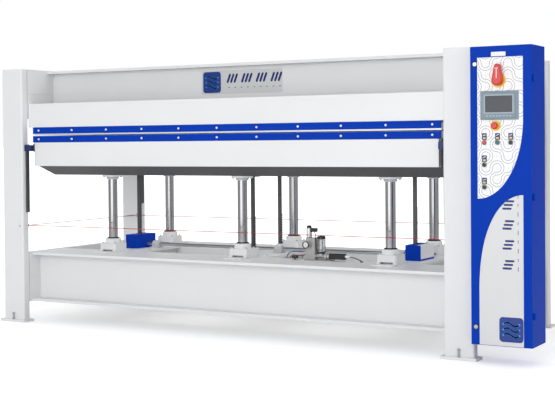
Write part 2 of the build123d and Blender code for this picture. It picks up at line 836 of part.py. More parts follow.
shoe_outer_x = half_inner - 1
shoe_inner_x = platen_length / 2
arm_thickness = 20.0
arm_end_y = 600.0
with BuildPart() as guide_shoes:
    for sx in (-1, 1):
        for sy in (-1, 1):
            block_outer_y = rail_y + rail_width / 2 + shoe_wall
            block_inner_y = rail_y - rail_width / 2 - shoe_wall
            with BuildSketch(level(shoe_bottom)):
                with Locations((sx * (shoe_outer_x + shoe_inner_x) / 2, sy * rail_y)):
                    Rectangle(shoe_outer_x - shoe_inner_x, block_outer_y - block_inner_y)
                with Locations(
                    (sx * (shoe_inner_x + arm_thickness / 2), sy * (block_inner_y + arm_end_y) / 2)
                ):
                    Rectangle(arm_thickness, block_inner_y - arm_end_y)
                with Locations((sx * (half_inner - rail_thickness / 2), sy * rail_y)):
                    Rectangle(
                        rail_thickness + 2 * slide_gap, rail_width + 2 * slide_gap, mode=Mode.SUBTRACT
                    )
            extrude(amount=shoe_height)
save(guide_shoes.part, "guide_shoes")

# Eye bolts through three columns for the trip rope, each with a nut on the outer face
nut_height = 8.0
eye_shank_d = 5.0
with BuildPart() as rope_eyes:
    for x, side in eye_spots:
        centre = (mid_x + x, mid_y + side * eye_y, rope_z)
        outward = Plane(origin=centre, x_dir=(1, 0, 0), z_dir=(0, side, 0))
        with BuildSketch(outward.offset(eye_r)):
            Circle(eye_shank_d / 2)
        extrude(amount=half_depth + nut_height + 2 - eye_y - eye_r)
        with BuildSketch(outward.offset(half_depth - eye_y)):
            RegularPolygon(eye_wire_d, 6)
        extrude(amount=nut_height)
        with BuildSketch(Plane(origin=centre)):
            with Locations((0, eye_r)):
                Circle(eye_wire_d / 2)
        revolve(axis=Axis(centre, (1, 0, 0)), revolution_arc=360)
save(rope_eyes.part, "rope_eyes")

# Trip rope: from the switch on the front right column along the front, left side and rear, with
# a spring sleeve before the rear left eye and a ferrule behind the last eye
ferrule_d = 11.0
ferrule_length = 18.0
spring_y = 566.0
spring_length = 84.0
rope_bend_r = eye_wire_d / 2 + rope_d / 2 + 0.3
rope_x = eye_x + rope_bend_r
rope_y = eye_y - eye_r + rope_bend_r
switch_width = 90.0
rope_start_x = eye_x - 40
rope_end_x = eye_x + eye_wire_d / 2 + rope_d
rope_route = [
    (mid_x + rope_start_x, mid_y - rope_y, rope_z),
    (mid_x - rope_x, mid_y - rope_y, rope_z),
    (mid_x - rope_x, mid_y + rope_y, rope_z),
    (mid_x + rope_end_x, mid_y + rope_y, rope_z),
]
with BuildPart() as trip_rope:
    with BuildLine() as rope_line:
        FilletPolyline(*rope_route, radius=rope_bend_r)
    with BuildSketch(Plane(origin=rope_route[0], z_dir=(-1, 0, 0))):
        Circle(rope_d / 2)
    sweep(path=rope_line.line)
    with BuildSketch(facing_right(rope_end_x)):
        with Locations((rope_y, rope_z)):
            Circle(ferrule_d / 2)
    extrude(amount=ferrule_length)
    with BuildSketch(facing_front(spring_y)):
        with Locations((-rope_x, rope_z)):
            Circle(ferrule_d / 2)
    extrude(amount=-spring_length)
save(trip_rope.part, "trip_rope")

# Rope switch on the front right column: housing, gland and the eye that the rope pulls
switch_x = rope_start_x + 4
with BuildPart() as rope_switch:
    with BuildSketch(facing_front(-inner_y)):
        with Locations((switch_x + switch_width / 2, rope_z)):
            RectangleRounded(switch_width, 38, 6)
    extrude(amount=-2 * (inner_y - rope_y))
    with BuildSketch(facing_right(switch_x)):
        with Locations((-rope_y, rope_z)):
            Circle(9)
    extrude(amount=-10)
    with BuildSketch(facing_right(switch_x)):
        with Locations((-rope_y, rope_z)):
            Circle(rope_d / 2 + 0.3)
    extrude(amount=18, both=True, mode=Mode.SUBTRACT)
save(rope_switch.part, "rope_switch")

# Valve group on the front girder's deck: block, upright solenoid, bowl, coil and its lead
valve_y = -335.0
valve_depth = 44.0
block_left = 500.0
block_right = 570.0
with BuildPart() as valve_block:
    with BuildSketch(level(deck_top)):
        with Locations(((block_left + 690) / 2, valve_y)):
            RectangleRounded(690 - block_left + 20, valve_depth + 26, 8)
    extrude(amount=6)
    with BuildSketch(level(deck_top + 6)):
        with Locations(((block_left + block_right) / 2, valve_y)):
            Rectangle(block_right - block_left, valve_depth)
    extrude(amount=150)
    with BuildSketch(facing_right(block_right - 1)):
        with Locations((valve_y, deck_top + 32)):
            Circle(19)
    extrude(amount=108)
    with BuildSketch(facing_front(valve_y - valve_depth / 2)):
        with Locations((block_left + 14, deck_top + 108)):
            Circle(20)
    extrude(amount=24)
save(valve_block.part, "valve_block")

bowl_x = 610.0
with BuildPart() as valve_bowl:
    with BuildSketch(level(deck_top + 51)):
        with Locations((bowl_x, valve_y)):
            Circle(27)
    extrude(amount=98)
    chamfer(valve_bowl.faces().sort_by(Axis.Z)[-1].edges(), 6)
save(valve_bowl.part, "valve_bowl")

# Coils: an upright one with its connector, one on the horizontal spool, and the lead's grommet
solenoid_x = block_left + 16
coil_start = block_right - 1 + 108
coil_length = 118.0
coil_z = deck_top + 32
lead_d = 6.0
lead_route = [
    (coil_start + coil_length, valve_y, coil_z),
    (coil_start + coil_length + 45, valve_y, coil_z),
    (coil_start + coil_length + 92, valve_y, coil_z - 12),
    (coil_start + coil_length + 118, valve_y, deck_top + 8.7),
]
lead_points = [(mid_x + x, mid_y + y, z) for x, y, z in lead_route]
with BuildPart() as valve_coils:
    with BuildSketch(level(deck_top + 156)):
        with Locations((solenoid_x, valve_y)):
            Circle(17)
    extrude(amount=84)
    chamfer(valve_coils.faces().sort_by(Axis.Z)[-1].edges(), 7)
    with BuildSketch(level(deck_top + 196)):
        with Locations((solenoid_x + 36, valve_y)):
            RectangleRounded(50, 28, 5)
    extrude(amount=26)
    with BuildSketch(facing_right(coil_start)):
        with Locations((valve_y, coil_z)):
            RectangleRounded(36, 40, 6)
    extrude(amount=coil_length)
    with BuildSketch(level(deck_top)):
        with Locations((lead_route[-1][0] + 3, valve_y)):
            Circle(10)
    extrude(amount=6)
save(valve_coils.part, "valve_coils")

with BuildPart() as valve_lead:
    with BuildLine() as lead_line:
        FilletPolyline(*lead_points, radius=32)
    with BuildSketch(Plane(origin=lead_points[0], z_dir=(1, 0, 0))):
        Circle(lead_d / 2)
    sweep(path=lead_line.line)
save(valve_lead.part, "valve_lead")

# Oil pipes inside the girders: a tee at each barrel and a flanged port outside the right end tie
port_x = half_inner + tie_flange + 4
port_thickness = 16.0
port_size = 56.0
tee_r = pipe_d / 2 + 3
with BuildPart() as oil_pipes:
    for side in (-1, 1):
        with BuildSketch(facing_right(-cylinder_pitch - tee_r)):
            with Locations((side * pipe_y, pipe_z)):
                Circle(pipe_d / 2)
        extrude(amount=cylinder_pitch + tee_r + port_x)
        with BuildSketch(facing_front(side * pipe_y)):
            with Locations(*[(place * cylinder_pitch, pipe_z) for place in (-1, 0, 1)]):
                Circle(tee_r)
        extrude(amount=side * pipe_standoff)
        with BuildSketch(facing_right(port_x)):
            with Locations((side * pipe_y, pipe_z)):
                RectangleRounded(port_size, port_size, 6)
        extrude(amount=port_thickness)
        with BuildSketch(facing_right(port_x + port_thickness)):
            with Locations((side * pipe_y, pipe_z)):
                Circle(port_bore / 2)
                with GridLocations(port_bolt_pitch, port_bolt_pitch, 2, 2):
                    Circle(port_bolt_d / 2)
        extrude(amount=-port_thickness + 1, mode=Mode.SUBTRACT)
save(oil_pipes.part, "oil_pipes")

# Control cabinet: folded sheet box on the right column, rim round its open front, hinge knuckles
cabinet_x = outer_x + cabinet_width / 2
cabinet_z = cabinet_bottom + cabinet_height / 2
hinge_half = hinge_leaf / 2
hinge_play = 0.5
leaf_thickness = 4.0
with BuildPart() as cabinet_box:
    with BuildSketch(facing_front(-cabinet_front)):
        with Locations((cabinet_x, cabinet_z)):
            Rectangle(cabinet_width, cabinet_height)
    extrude(amount=-cabinet_depth)
    with BuildSketch(facing_front(-cabinet_front + cabinet_sheet)):
        with Locations((cabinet_x, cabinet_z)):
            Rectangle(cabinet_width - 2 * cabinet_sheet, cabinet_height - 2 * cabinet_sheet)
    extrude(amount=-cabinet_depth + 2 * cabinet_sheet, mode=Mode.SUBTRACT)
    with BuildSketch(facing_front(-cabinet_front)):
        with Locations((cabinet_x, cabinet_z)):
            Rectangle(cabinet_width - 2 * cabinet_rim, cabinet_height - 2 * cabinet_rim)
    extrude(amount=-cabinet_sheet, mode=Mode.SUBTRACT)
    for height in hinge_heights:
        with BuildSketch(level(height - hinge_half)):
            with Locations((hinge_x - hinge_out / 2, -cabinet_front + hinge_play + leaf_thickness / 2)):
                Rectangle(hinge_out, leaf_thickness)
            with Locations((hinge_x, -cabinet_front)):
                Circle(hinge_r)
        extrude(amount=hinge_half - hinge_play / 2)
        with BuildSketch(level(height - hinge_half)):
            with Locations((hinge_x, -cabinet_front)):
                Circle(hinge_pin_d / 2)
        extrude(amount=hinge_leaf)
save(cabinet_box.part, "cabinet_box")

# Switchgear: mounting plate on the cabinet's back with drives, contactors and terminals
plate_y = -cabinet_front + cabinet_depth - cabinet_sheet
device_rows = ((1640, 300, 130, 150), (1400, 280, 90, 110), (1160, 300, 150, 140), (880, 260, 80, 90))
with BuildPart() as switchgear:
    with BuildSketch(facing_front(plate_y)):
        with Locations((cabinet_x, cabinet_z)):
            Rectangle(cabinet_width - 50, cabinet_height - 120)
    extrude(amount=12)
    for height, width, tall, deep in device_rows:
        with BuildSketch(facing_front(plate_y - 12)):
            with Locations((cabinet_x, height)):
                with GridLocations(width / 4, 0, 4, 1):
                    Rectangle(width / 4 - 6, tall)
        extrude(amount=deep)
    with BuildSketch(facing_front(plate_y - 12)):
        with Locations((cabinet_x, 1520), (cabinet_x, 1280), (cabinet_x, 1010)):
            Rectangle(cabinet_width - 70, 40)
    extrude(amount=60)
save(switchgear.part, "switchgear")

# Door: shallow tray hinged on its right edge, cut out for every control
overlay_sheet = 2.0
face_y = door_front + overlay_sheet
door_width = cabinet_width - 2
door_x = cabinet_x + 1
button_spots = {
    "red_button": (outer_x + 90, 1323),
    "green_button": (outer_x + 172, 1323),
    "upper_black_button": (outer_x + 254, 1323),
    "middle_black_button": (outer_x + 90, 1191),
    "lower_black_button": (outer_x + 90, 1058),
}
estop_spot = (outer_x + 161, 1423)
main_switch_spot = (outer_x + 180, 1692)
lock_spots = {
    "upper_lock": (outer_x + 32, cabinet_bottom + cabinet_height - 105),
    "lower_lock": (outer_x + 32, cabinet_bottom + 107),
}
hmi_spot = (outer_x + 185, 1543)
hmi_frame_size = (236, 172)
hmi_bezel_size = (206, 152)
hmi_body_size = (190, 138)
screen_size = (168, 98)
screen_spot = (outer_x + 183, 1551)
neck_d = 22.0
main_shaft_d = 10.0
lock_d = 16.0
with BuildPart() as cabinet_door:
    with BuildSketch(facing_front(-door_front)):
        with Locations((door_x, cabinet_z)):
            Rectangle(door_width, cabinet_height)
    extrude(amount=-door_depth + door_gap)
    with BuildSketch(facing_front(-door_front + door_sheet)):
        with Locations((door_x, cabinet_z)):
            Rectangle(door_width - 2 * door_sheet, cabinet_height - 2 * door_sheet)
    extrude(amount=-door_depth, mode=Mode.SUBTRACT)
    with BuildSketch(facing_front(-door_front)):
        with Locations(*button_spots.values(), estop_spot):
            Circle(neck_d / 2 + bolt_clearance)
        with Locations(main_switch_spot):
            Circle(main_shaft_d / 2 + 1)
        with Locations(*lock_spots.values()):
            Circle(lock_d / 2 + running_clearance)
        with Locations(hmi_spot):
            Rectangle(hmi_body_size[0] + 1, hmi_body_size[1] + 1)
    extrude(amount=-door_sheet, mode=Mode.SUBTRACT)
    for height in hinge_heights:
        with BuildSketch(level(height + hinge_play / 2)):
            with Locations((hinge_x - hinge_out / 2, -cabinet_front - hinge_play - leaf_thickness / 2)):
                Rectangle(hinge_out, leaf_thickness)
            with Locations((hinge_x, -cabinet_front)):
                Circle(hinge_r)
                Circle(hinge_pin_d / 2 + running_clearance, mode=Mode.SUBTRACT)
        extrude(amount=hinge_half - hinge_play / 2)
save(cabinet_door.part, "cabinet_door")

# Overlays on the door: an upper field that ends in a sweep and a lower field that meets it
overlay_left = outer_x + 47
overlay_right = outer_x + 328
overlay_top = 1829.0
sweep_top = 1465.0
sweep_bottom = 988.0
lower_left = outer_x + 55
lower_top = 1013.0
lower_foot = cabinet_bottom + 3
lower_sweep_end = 441.0
lower_sweep_out = 130.0
lower_sweep_down = 400.0
with BuildPart() as door_overlays:
    with BuildSketch(facing_front(-door_front)):
        with BuildLine():
            Polyline(
                (overlay_left, sweep_bottom),
                (overlay_left, overlay_top),
                (overlay_right, overlay_top),
                (overlay_right, sweep_top),
            )
            EllipticalCenterArc(
                center=(overlay_left, sweep_top),
                x_radius=overlay_right - overlay_left,
                y_radius=sweep_top - sweep_bottom,
                start_angle=270,
                arc_size=90,
            )
        make_face()
        with Locations(*button_spots.values(), estop_spot):
            Circle(neck_d / 2 + bolt_clearance, mode=Mode.SUBTRACT)
        with Locations(main_switch_spot):
            Circle(main_shaft_d / 2 + 1, mode=Mode.SUBTRACT)
        with Locations(hmi_spot):
            Rectangle(hmi_body_size[0] + 1, hmi_body_size[1] + 1, mode=Mode.SUBTRACT)
    extrude(amount=overlay_sheet)
    with BuildSketch(facing_front(-door_front)):
        with BuildLine():
            Bezier(
                (overlay_right, lower_top),
                (overlay_right - lower_sweep_out, lower_top),
                (lower_left, lower_sweep_end + lower_sweep_down),
                (lower_left, lower_sweep_end),
            )
            Polyline(
                (lower_left, lower_sweep_end),
                (lower_left, lower_foot),
                (overlay_right, lower_foot),
                (overlay_right, lower_top),
            )
        make_face()
    extrude(amount=overlay_sheet)
save(door_overlays.part, "door_overlays")


def turned(spot, radius, front, back, mode=Mode.ADD):
    """Round bar or bore along Y at a control's place, between two depths before the press centre."""
    with BuildSketch(facing_front(-back)) as outline:
        with Locations(spot):
            Circle(radius)
    extrude(outline.sketch, amount=front - back, mode=mode)


# Push button collars: bezel ring, neck through the door and contact block behind it
plunger_r = 10.0
plunger_bore = plunger_r + running_clearance
plunger_back = face_y - 13
block_back = door_front - 51
with BuildPart() as button_collars:
    for spot in button_spots.values():
        turned(spot, collar_d / 2, face_y + collar_height, face_y)
        turned(spot, neck_d / 2, face_y + 1, door_front - 22)
        with BuildSketch(facing_front(-block_back)):
            with Locations(spot):
                Rectangle(30, 30)
        extrude(amount=door_front - 21 - block_back)
        turned(spot, plunger_bore, face_y + collar_height, plunger_back - 8, Mode.SUBTRACT)
save(button_collars.part, "button_collars")

# Push buttons: one plunger each, guided by its collar
for name, spot in button_spots.items():
    with BuildPart() as button:
        turned(spot, plunger_r, face_y + button_out, plunger_back)
        fillet(button.faces().sort_by(Axis.Y)[0].edges(), 1.5)
    save(button.part, name)

# Yellow collars of the emergency stop and the main switch
estop_collar_height = 8.0
main_base_height = 6.0
main_base_d = 88.0
estop_stem_r = 9.0
estop_bore = estop_stem_r + running_clearance
main_bore = main_shaft_d / 2 + running_clearance
with BuildPart() as yellow_collars:
    turned(estop_spot, estop_collar_d / 2, face_y + estop_collar_height, face_y)
    turned(estop_spot, neck_d / 2, face_y + 1, door_front - 40)
    turned(estop_spot, estop_bore, face_y + estop_collar_height, door_front - 30, Mode.SUBTRACT)
    turned(main_switch_spot, main_base_d / 2, face_y + main_base_height, face_y)
    turned(main_switch_spot, main_shaft_d / 2 + 1, face_y + 1, door_front - 25)
    turned(main_switch_spot, main_bore, face_y + 10, door_front - 30, Mode.SUBTRACT)
save(yellow_collars.part, "yellow_collars")

# Emergency stop: stem that slides in the collar, mushroom that turns on the stem to release
mushroom_back = face_y + 18.2
spigot_r = 5.0
with BuildPart() as estop_stem:
    turned(estop_spot, estop_stem_r, face_y + 18, face_y - 14)
    turned(estop_spot, spigot_r, face_y + 27, face_y + 18)
save(estop_stem.part, "estop_stem")

with BuildPart() as estop_head:
    turned(estop_spot, mushroom_d / 2, face_y + 33, mushroom_back)
    fillet(estop_head.faces().sort_by(Axis.Y)[0].edges(), 7)
    chamfer(estop_head.faces().sort_by(Axis.Y)[-1].edges(), 3)
    turned(estop_spot, spigot_r + running_clearance, face_y + 28, mushroom_back, Mode.SUBTRACT)
save(estop_head.part, "estop_head")

# Main switch handle: pear-shaped grip, narrow at the top, on a shaft through its collar
handle_back = face_y + main_base_height + 0.3
handle_front = door_front + main_switch_reach
handle_tip = (main_switch_spot[0], main_switch_spot[1] + 78)
with BuildPart() as main_switch_handle:
    with BuildSketch(facing_front(-handle_back)):
        with Locations(main_switch_spot):
            Circle(33)
        with Locations(handle_tip):
            Circle(18)
        make_hull()
    extrude(amount=handle_front - handle_back)
    fillet(main_switch_handle.faces().sort_by(Axis.Y)[0].edges(), 9)
    turned(main_switch_spot, main_shaft_d / 2, handle_back + 5, door_front - 20)
save(main_switch_handle.part, "main_switch_handle")

# Operator panel: frame, raised bezel and the body behind the door, with a recess for the screen
screen_recess = 2.0
with BuildPart() as operator_panel:
    with BuildSketch(facing_front(-face_y)):
        with Locations(hmi_spot):
            RectangleRounded(*hmi_frame_size, 4)
    extrude(amount=4)
    with BuildSketch(facing_front(-face_y - 4)):
        with Locations(hmi_spot):
            RectangleRounded(*hmi_bezel_size, 4)
    extrude(amount=5, taper=20)
    with BuildSketch(facing_front(-face_y)):
        with Locations(hmi_spot):
            Rectangle(*hmi_body_size)
    extrude(amount=-42)
    with BuildSketch(facing_front(-face_y - 9)):
        with Locations(screen_spot):
            Rectangle(*screen_size)
    extrude(amount=-screen_recess, mode=Mode.SUBTRACT)
save(operator_panel.part, "operator_panel")

with BuildPart() as panel_screen:
    with BuildSketch(facing_front(-face_y - 9 + screen_recess)):
        with Locations(screen_spot):
            Rectangle(screen_size[0] - 0.6, screen_size[1] - 0.6)
    extrude(amount=screen_recess - 0.5)
save(panel_screen.part, "panel_screen")

# Quarter-turn locks: head in front of the door, barrel through it, cam behind the cabinet's rim
cam_front = cabinet_front - cabinet_sheet - 1
for name, spot in lock_spots.items():
    with BuildPart() as lock:
        turned(spot, 12, door_front + 5, door_front + 0.3)
        turned(spot, lock_d / 2, door_front + 1, cam_front - 3)
        with BuildSketch(facing_front(-door_front - 5)):
            with Locations(spot):
                Rectangle(3, 14)
        extrude(amount=-3, mode=Mode.SUBTRACT)
        with BuildSketch(facing_front(-cam_front)):
            with Locations((spot[0], spot[1] + 10)):
                Rectangle(15, 36)
        extrude(amount=-3)
    save(lock.part, name)
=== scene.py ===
import math
from functools import partial

import bmesh
import bpy
from mathutils import Matrix, Vector


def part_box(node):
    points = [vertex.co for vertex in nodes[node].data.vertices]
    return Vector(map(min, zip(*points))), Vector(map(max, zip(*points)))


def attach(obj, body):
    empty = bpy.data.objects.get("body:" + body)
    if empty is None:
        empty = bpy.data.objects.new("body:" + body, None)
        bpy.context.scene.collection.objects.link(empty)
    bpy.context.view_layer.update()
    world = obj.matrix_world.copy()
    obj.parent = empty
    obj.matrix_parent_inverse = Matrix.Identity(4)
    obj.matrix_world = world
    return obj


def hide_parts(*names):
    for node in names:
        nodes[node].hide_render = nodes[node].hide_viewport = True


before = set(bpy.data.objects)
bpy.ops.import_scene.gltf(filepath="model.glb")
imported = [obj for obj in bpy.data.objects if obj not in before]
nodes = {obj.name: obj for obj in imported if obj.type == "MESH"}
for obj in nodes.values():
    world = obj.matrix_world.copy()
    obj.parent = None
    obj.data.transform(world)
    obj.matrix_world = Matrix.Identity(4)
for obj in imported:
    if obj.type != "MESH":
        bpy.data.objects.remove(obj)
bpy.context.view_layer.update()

# Camera: the photograph's viewing angle, standing off the press's right front with a long lens.
# The press stands off the origin, because its cabinet makes it lopsided, so places are given from
# the middle between its columns and the floor.
column_low, column_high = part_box("columns")
press_middle = (column_low + column_high) / 2


def machine(x, y, z):
    """A point given from the press's middle and the floor, in the row's frame."""
    return Vector((press_middle.x + x, press_middle.y + y, z))


camera_data = bpy.data.cameras.new("camera")
camera_data.sensor_width = 36.0
camera_data.lens = 78.40
camera_data.shift_x = -0.0021
camera_data.shift_y = -0.0740
camera_data.clip_end = 1000.0
camera = bpy.data.objects.new("camera", camera_data)
bpy.context.scene.collection.objects.link(camera)
bpy.context.scene.camera = camera
camera_place = (4.4865, -7.6841, 1.331)
yaw, pitch, roll = 0.5202, 0.0198, 0.0083
level_right = Vector((math.cos(yaw), math.sin(yaw), 0))
ahead = Vector((-math.sin(yaw) * math.cos(pitch), math.cos(yaw) * math.cos(pitch), -math.sin(pitch)))
level_down = ahead.cross(level_right)
camera_right = math.cos(roll) * level_right + math.sin(roll) * level_down
camera_down = -math.sin(roll) * level_right + math.cos(roll) * level_down
camera_turn = Matrix((camera_right, -camera_down, -ahead)).transposed()
camera.matrix_world = Matrix.Translation(machine(*camera_place)) @ camera_turn.to_4x4()

# Studio: a broad soft key and a low one in front, weaker fills at both sides, a strip above and a
# weak lamp under the table for the deck. The room is an even grey for the light it gives; chrome
# and gloss see its pale walls with dark gaps between them.
bpy.context.scene.view_settings.view_transform = "Standard"


def put(socket, value):
    """Gives an input socket a value, or links another node's output to it."""
    if isinstance(value, bpy.types.NodeSocket):
        socket.id_data.links.new(value, socket)
    else:
        socket.default_value = value


def feed(node, **inputs):
    """Feeds a node's inputs by name, written with _ for a space."""
    for name, value in inputs.items():
        put(node.inputs[name.replace("_", " ")], value)


def add_node(tree, kind, **inputs):
    """New shader node in a tree, with some of its inputs fed; returns the node."""
    node = tree.nodes.new("ShaderNode" + kind)
    feed(node, **inputs)
    return node


def math_node(tree, operation, *values):
    """Math node in a tree, fed by numbers or by other nodes' sockets; returns its output."""
    node = tree.nodes.new("ShaderNodeMath")
    node.operation = operation
    for socket, value in zip(node.inputs, values):
        put(socket, value)
    return node.outputs[0]


def mix_colours(tree, factor, one, two):
    """Mix of two colours, each a value or a socket; returns the node."""
    node = tree.nodes.new("ShaderNodeMix")
    node.data_type = "RGBA"
    feed(node, Factor=factor, A=one, B=two)
    return node


world = bpy.data.worlds.new("studio")
bpy.context.scene.world = world
world.use_nodes = True
sky = world.node_tree
sky.nodes.clear()
room = add_node(sky, "Background", Color=(0.97, 0.98, 1.0, 1), Strength=0.62)
heading = add_node(sky, "TexCoord")
heading_parts = add_node(sky, "SeparateXYZ", Vector=heading.outputs["Generated"])
azimuth = math_node(sky, "ARCTAN2", heading_parts.outputs["Y"], heading_parts.outputs["X"])
turn_share = math_node(sky, "MULTIPLY_ADD", azimuth, 0.5 / math.pi, 0.5)
PALE, GREY, GAP = 1.0, 0.6, 0.05
WALL_STOPS = [(0.0, GREY), (0.1, PALE), (0.14, GAP), (0.2, GAP), (0.24, PALE), (0.4, PALE), (0.45, GAP),
              (0.52, GAP), (0.57, PALE), (0.65, GAP), (0.71, GAP), (0.76, PALE), (0.82, GAP), (0.87, PALE),
              (1.0, GREY)]
walls = add_node(sky, "ValToRGB", Fac=turn_share)
walls.color_ramp.elements.remove(walls.color_ramp.elements[1])
walls.color_ramp.elements[0].position = WALL_STOPS[0][0]
walls.color_ramp.elements[0].color = (GREY, GREY, GREY, 1)
for stop, tone in WALL_STOPS[1:]:
    walls.color_ramp.elements.new(stop).color = (tone, tone, tone, 1)
seen_by = add_node(sky, "LightPath")
glossy_only = mix_colours(sky, seen_by.outputs["Is Glossy Ray"], (1, 1, 1, 1), walls.outputs["Color"])
backdrop = add_node(sky, "Background", Color=glossy_only.outputs["Result"])
sees_backdrop = math_node(sky, "MAXIMUM", seen_by.outputs["Is Camera Ray"], seen_by.outputs["Is Glossy Ray"])
sees_any = math_node(sky, "MAXIMUM", sees_backdrop, seen_by.outputs["Is Transmission Ray"])
world_mix = add_node(sky, "MixShader", Fac=sees_any)
put(world_mix.inputs[1], room.outputs[0])
put(world_mix.inputs[2], backdrop.outputs[0])
add_node(sky, "OutputWorld", Surface=world_mix.outputs[0])


def area_light(name, at, towards, size, watts):
    """Rectangular studio light."""
    data = bpy.data.lights.new(name, "AREA")
    data.shape = "RECTANGLE"
    data.size, data.size_y = size
    data.energy = watts
    lamp = bpy.data.objects.new(name, data)
    bpy.context.scene.collection.objects.link(lamp)
    lamp.location = machine(*at)
    aim = machine(*towards) - lamp.location
    lamp.rotation_euler = aim.to_track_quat("-Z", "Y").to_euler()
    return lamp


area_light("key_light", (1.0, -8.0, 3.0), (0, 0, 0.9), (7.0, 3.0), 190)
area_light("low_light", (0.5, -7.5, 1.0), (0, 0, 0.6), (7.0, 1.5), 55)
area_light("fill_light", (-7.0, -1.0, 2.6), (0, 0, 0.9), (3.0, 3.0), 60)
area_light("top_light", (0, 0.5, 5.0), (0, 0, 0), (7.0, 3.0), 90)
area_light("right_light", (7.0, -1.5, 2.4), (2, 0, 1.0), (3.0, 3.0), 60)
deck_light = area_light("deck_light", (0, 0, 1.1), (0, 0, 0.5), (3.0, 1.1), 11)
deck_light.visible_camera = False
deck_light.visible_glossy = False

# Floor: plain, pale and matt. Towards the horizon it glows for the camera, so it runs out to white
# while it keeps the press's shadow near by.
floor_reach = 400.0
shadow_reach, white_reach = 2.2, 5.5
near_glow, far_glow = 0.36, 1.0
floor_mesh = bpy.data.meshes.new("floor")
floor_corners = [(-1, -1), (1, -1), (1, 1), (-1, 1)]
floor_points = [(x * floor_reach, y * floor_reach, 0) for x, y in floor_corners]
floor_mesh.from_pydata(floor_points, [], [(0, 1, 2, 3)])
floor = bpy.data.objects.new("floor", floor_mesh)
bpy.context.scene.collection.objects.link(floor)
floor_finish = bpy.data.materials.new("floor_finish")
floor_finish.use_nodes = True
floor_tree = floor_finish.node_tree
floor_place = add_node(floor_tree, "TexCoord")
floor_distance = add_node(floor_tree, "VectorMath")
floor_distance.operation = "LENGTH"
put(floor_distance.inputs[0], floor_place.outputs["Object"])
glow = add_node(floor_tree, "MapRange", Value=floor_distance.outputs["Value"], From_Min=shadow_reach,
                From_Max=white_reach, To_Min=near_glow, To_Max=far_glow)
floor_seen = add_node(floor_tree, "LightPath")
camera_glow = math_node(floor_tree, "MULTIPLY", glow.outputs["Result"], floor_seen.outputs["Is Camera Ray"])
feed(floor_tree.nodes["Principled BSDF"], Base_Color=(0.84, 0.84, 0.84, 1), Roughness=0.8,
     Specular_IOR_Level=0.1, Emission_Color=(1, 1, 1, 1), Emission_Strength=camera_glow)
floor_mesh.materials.append(floor_finish)


# Welded frame: columns, base plates, girders, ties and upper beams of steel plate and section,
# welded along their joints and sprayed light grey-white in one go. Slings and boots rub its edges,
# and the spray keeps slow clouds of tone.
def group(name, inputs, outputs):
    """Empty shader group with named sockets; returns its tree, input and output nodes."""
    tree = bpy.data.node_groups.new(name, "ShaderNodeTree")
    for label, kind, value in inputs:
        tree.interface.new_socket(label, in_out="INPUT", socket_type=kind).default_value = value
    for label, kind in outputs:
        tree.interface.new_socket(label, in_out="OUTPUT", socket_type=kind)
    return tree, tree.nodes.new("NodeGroupInput"), tree.nodes.new("NodeGroupOutput")


def place_group(tree, effect, **inputs):
    """Places a shader group in a tree, with its inputs fed; returns the node."""
    node = tree.nodes.new("ShaderNodeGroup")
    node.node_tree = effect
    feed(node, **inputs)
    return node


FLOAT, COLOUR, VECTOR = "NodeSocketFloat", "NodeSocketColor", "NodeSocketVector"

# Edge softening gives the rounded normal and a mask that is 1 on welded, folded or cut edges.
edge_group, given, made = group("edge_softening", [("Radius", FLOAT, 0.002)],
                                [("Normal", VECTOR), ("Edge", FLOAT)])
round_normal = add_node(edge_group, "Bevel", Radius=given.outputs["Radius"])
round_normal.samples = 4
face = add_node(edge_group, "NewGeometry")
agree = add_node(edge_group, "VectorMath")
agree.operation = "DOT_PRODUCT"
put(agree.inputs[0], round_normal.outputs["Normal"])
put(agree.inputs[1], face.outputs["Normal"])
edge_mask = add_node(edge_group, "MapRange", Value=agree.outputs["Value"], From_Min=0.995, From_Max=0.93)
feed(made, Normal=round_normal.outputs["Normal"], Edge=edge_mask.outputs["Result"])

# Cloudiness gives the slow changes of tone and gloss of sprayed and handled surfaces.
cloud_group, given, made = group(
    "cloudiness",
    [("Colour", COLOUR, (0.8, 0.8, 0.8, 1)), ("Scale", FLOAT, 2.5), ("Amount", FLOAT, 0.04),
     ("Roughness", FLOAT, 0.4), ("Spread", FLOAT, 0.08)],
    [("Colour", COLOUR), ("Roughness", FLOAT)],
)
place = add_node(cloud_group, "TexCoord")
clouds = add_node(cloud_group, "TexNoise", Vector=place.outputs["Object"], Scale=given.outputs["Scale"],
                  Detail=5.0)
centred = math_node(cloud_group, "SUBTRACT", clouds.outputs["Fac"], 0.5)
tone = math_node(cloud_group, "MULTIPLY_ADD", centred, given.outputs["Amount"], 1.0)
gloss = math_node(cloud_group, "MULTIPLY_ADD", centred, given.outputs["Spread"], given.outputs["Roughness"])
tinted = add_node(cloud_group, "VectorMath")
tinted.operation = "SCALE"
put(tinted.inputs[0], given.outputs["Colour"])
feed(tinted, Scale=tone)
feed(made, Colour=tinted.outputs[0], Roughness=gloss)

# Grain gives the fine relief of sprayed paint, moulded plastic or ground metal; Stretch pulls it
# out along one axis, as a grinder leaves it.
grain_group, given, made = group(
    "grain", [("Scale", FLOAT, 400.0), ("Stretch", VECTOR, (1, 1, 1))], [("Height", FLOAT)]
)
place = add_node(grain_group, "TexCoord")
pulled = add_node(grain_group, "VectorMath")
pulled.operation = "MULTIPLY"
put(pulled.inputs[0], place.outputs["Object"])
put(pulled.inputs[1], given.outputs["Stretch"])
grains = add_node(grain_group, "TexNoise", Vector=pulled.outputs[0], Scale=given.outputs["Scale"], Detail=3.0)
feed(made, Height=grains.outputs["Fac"])


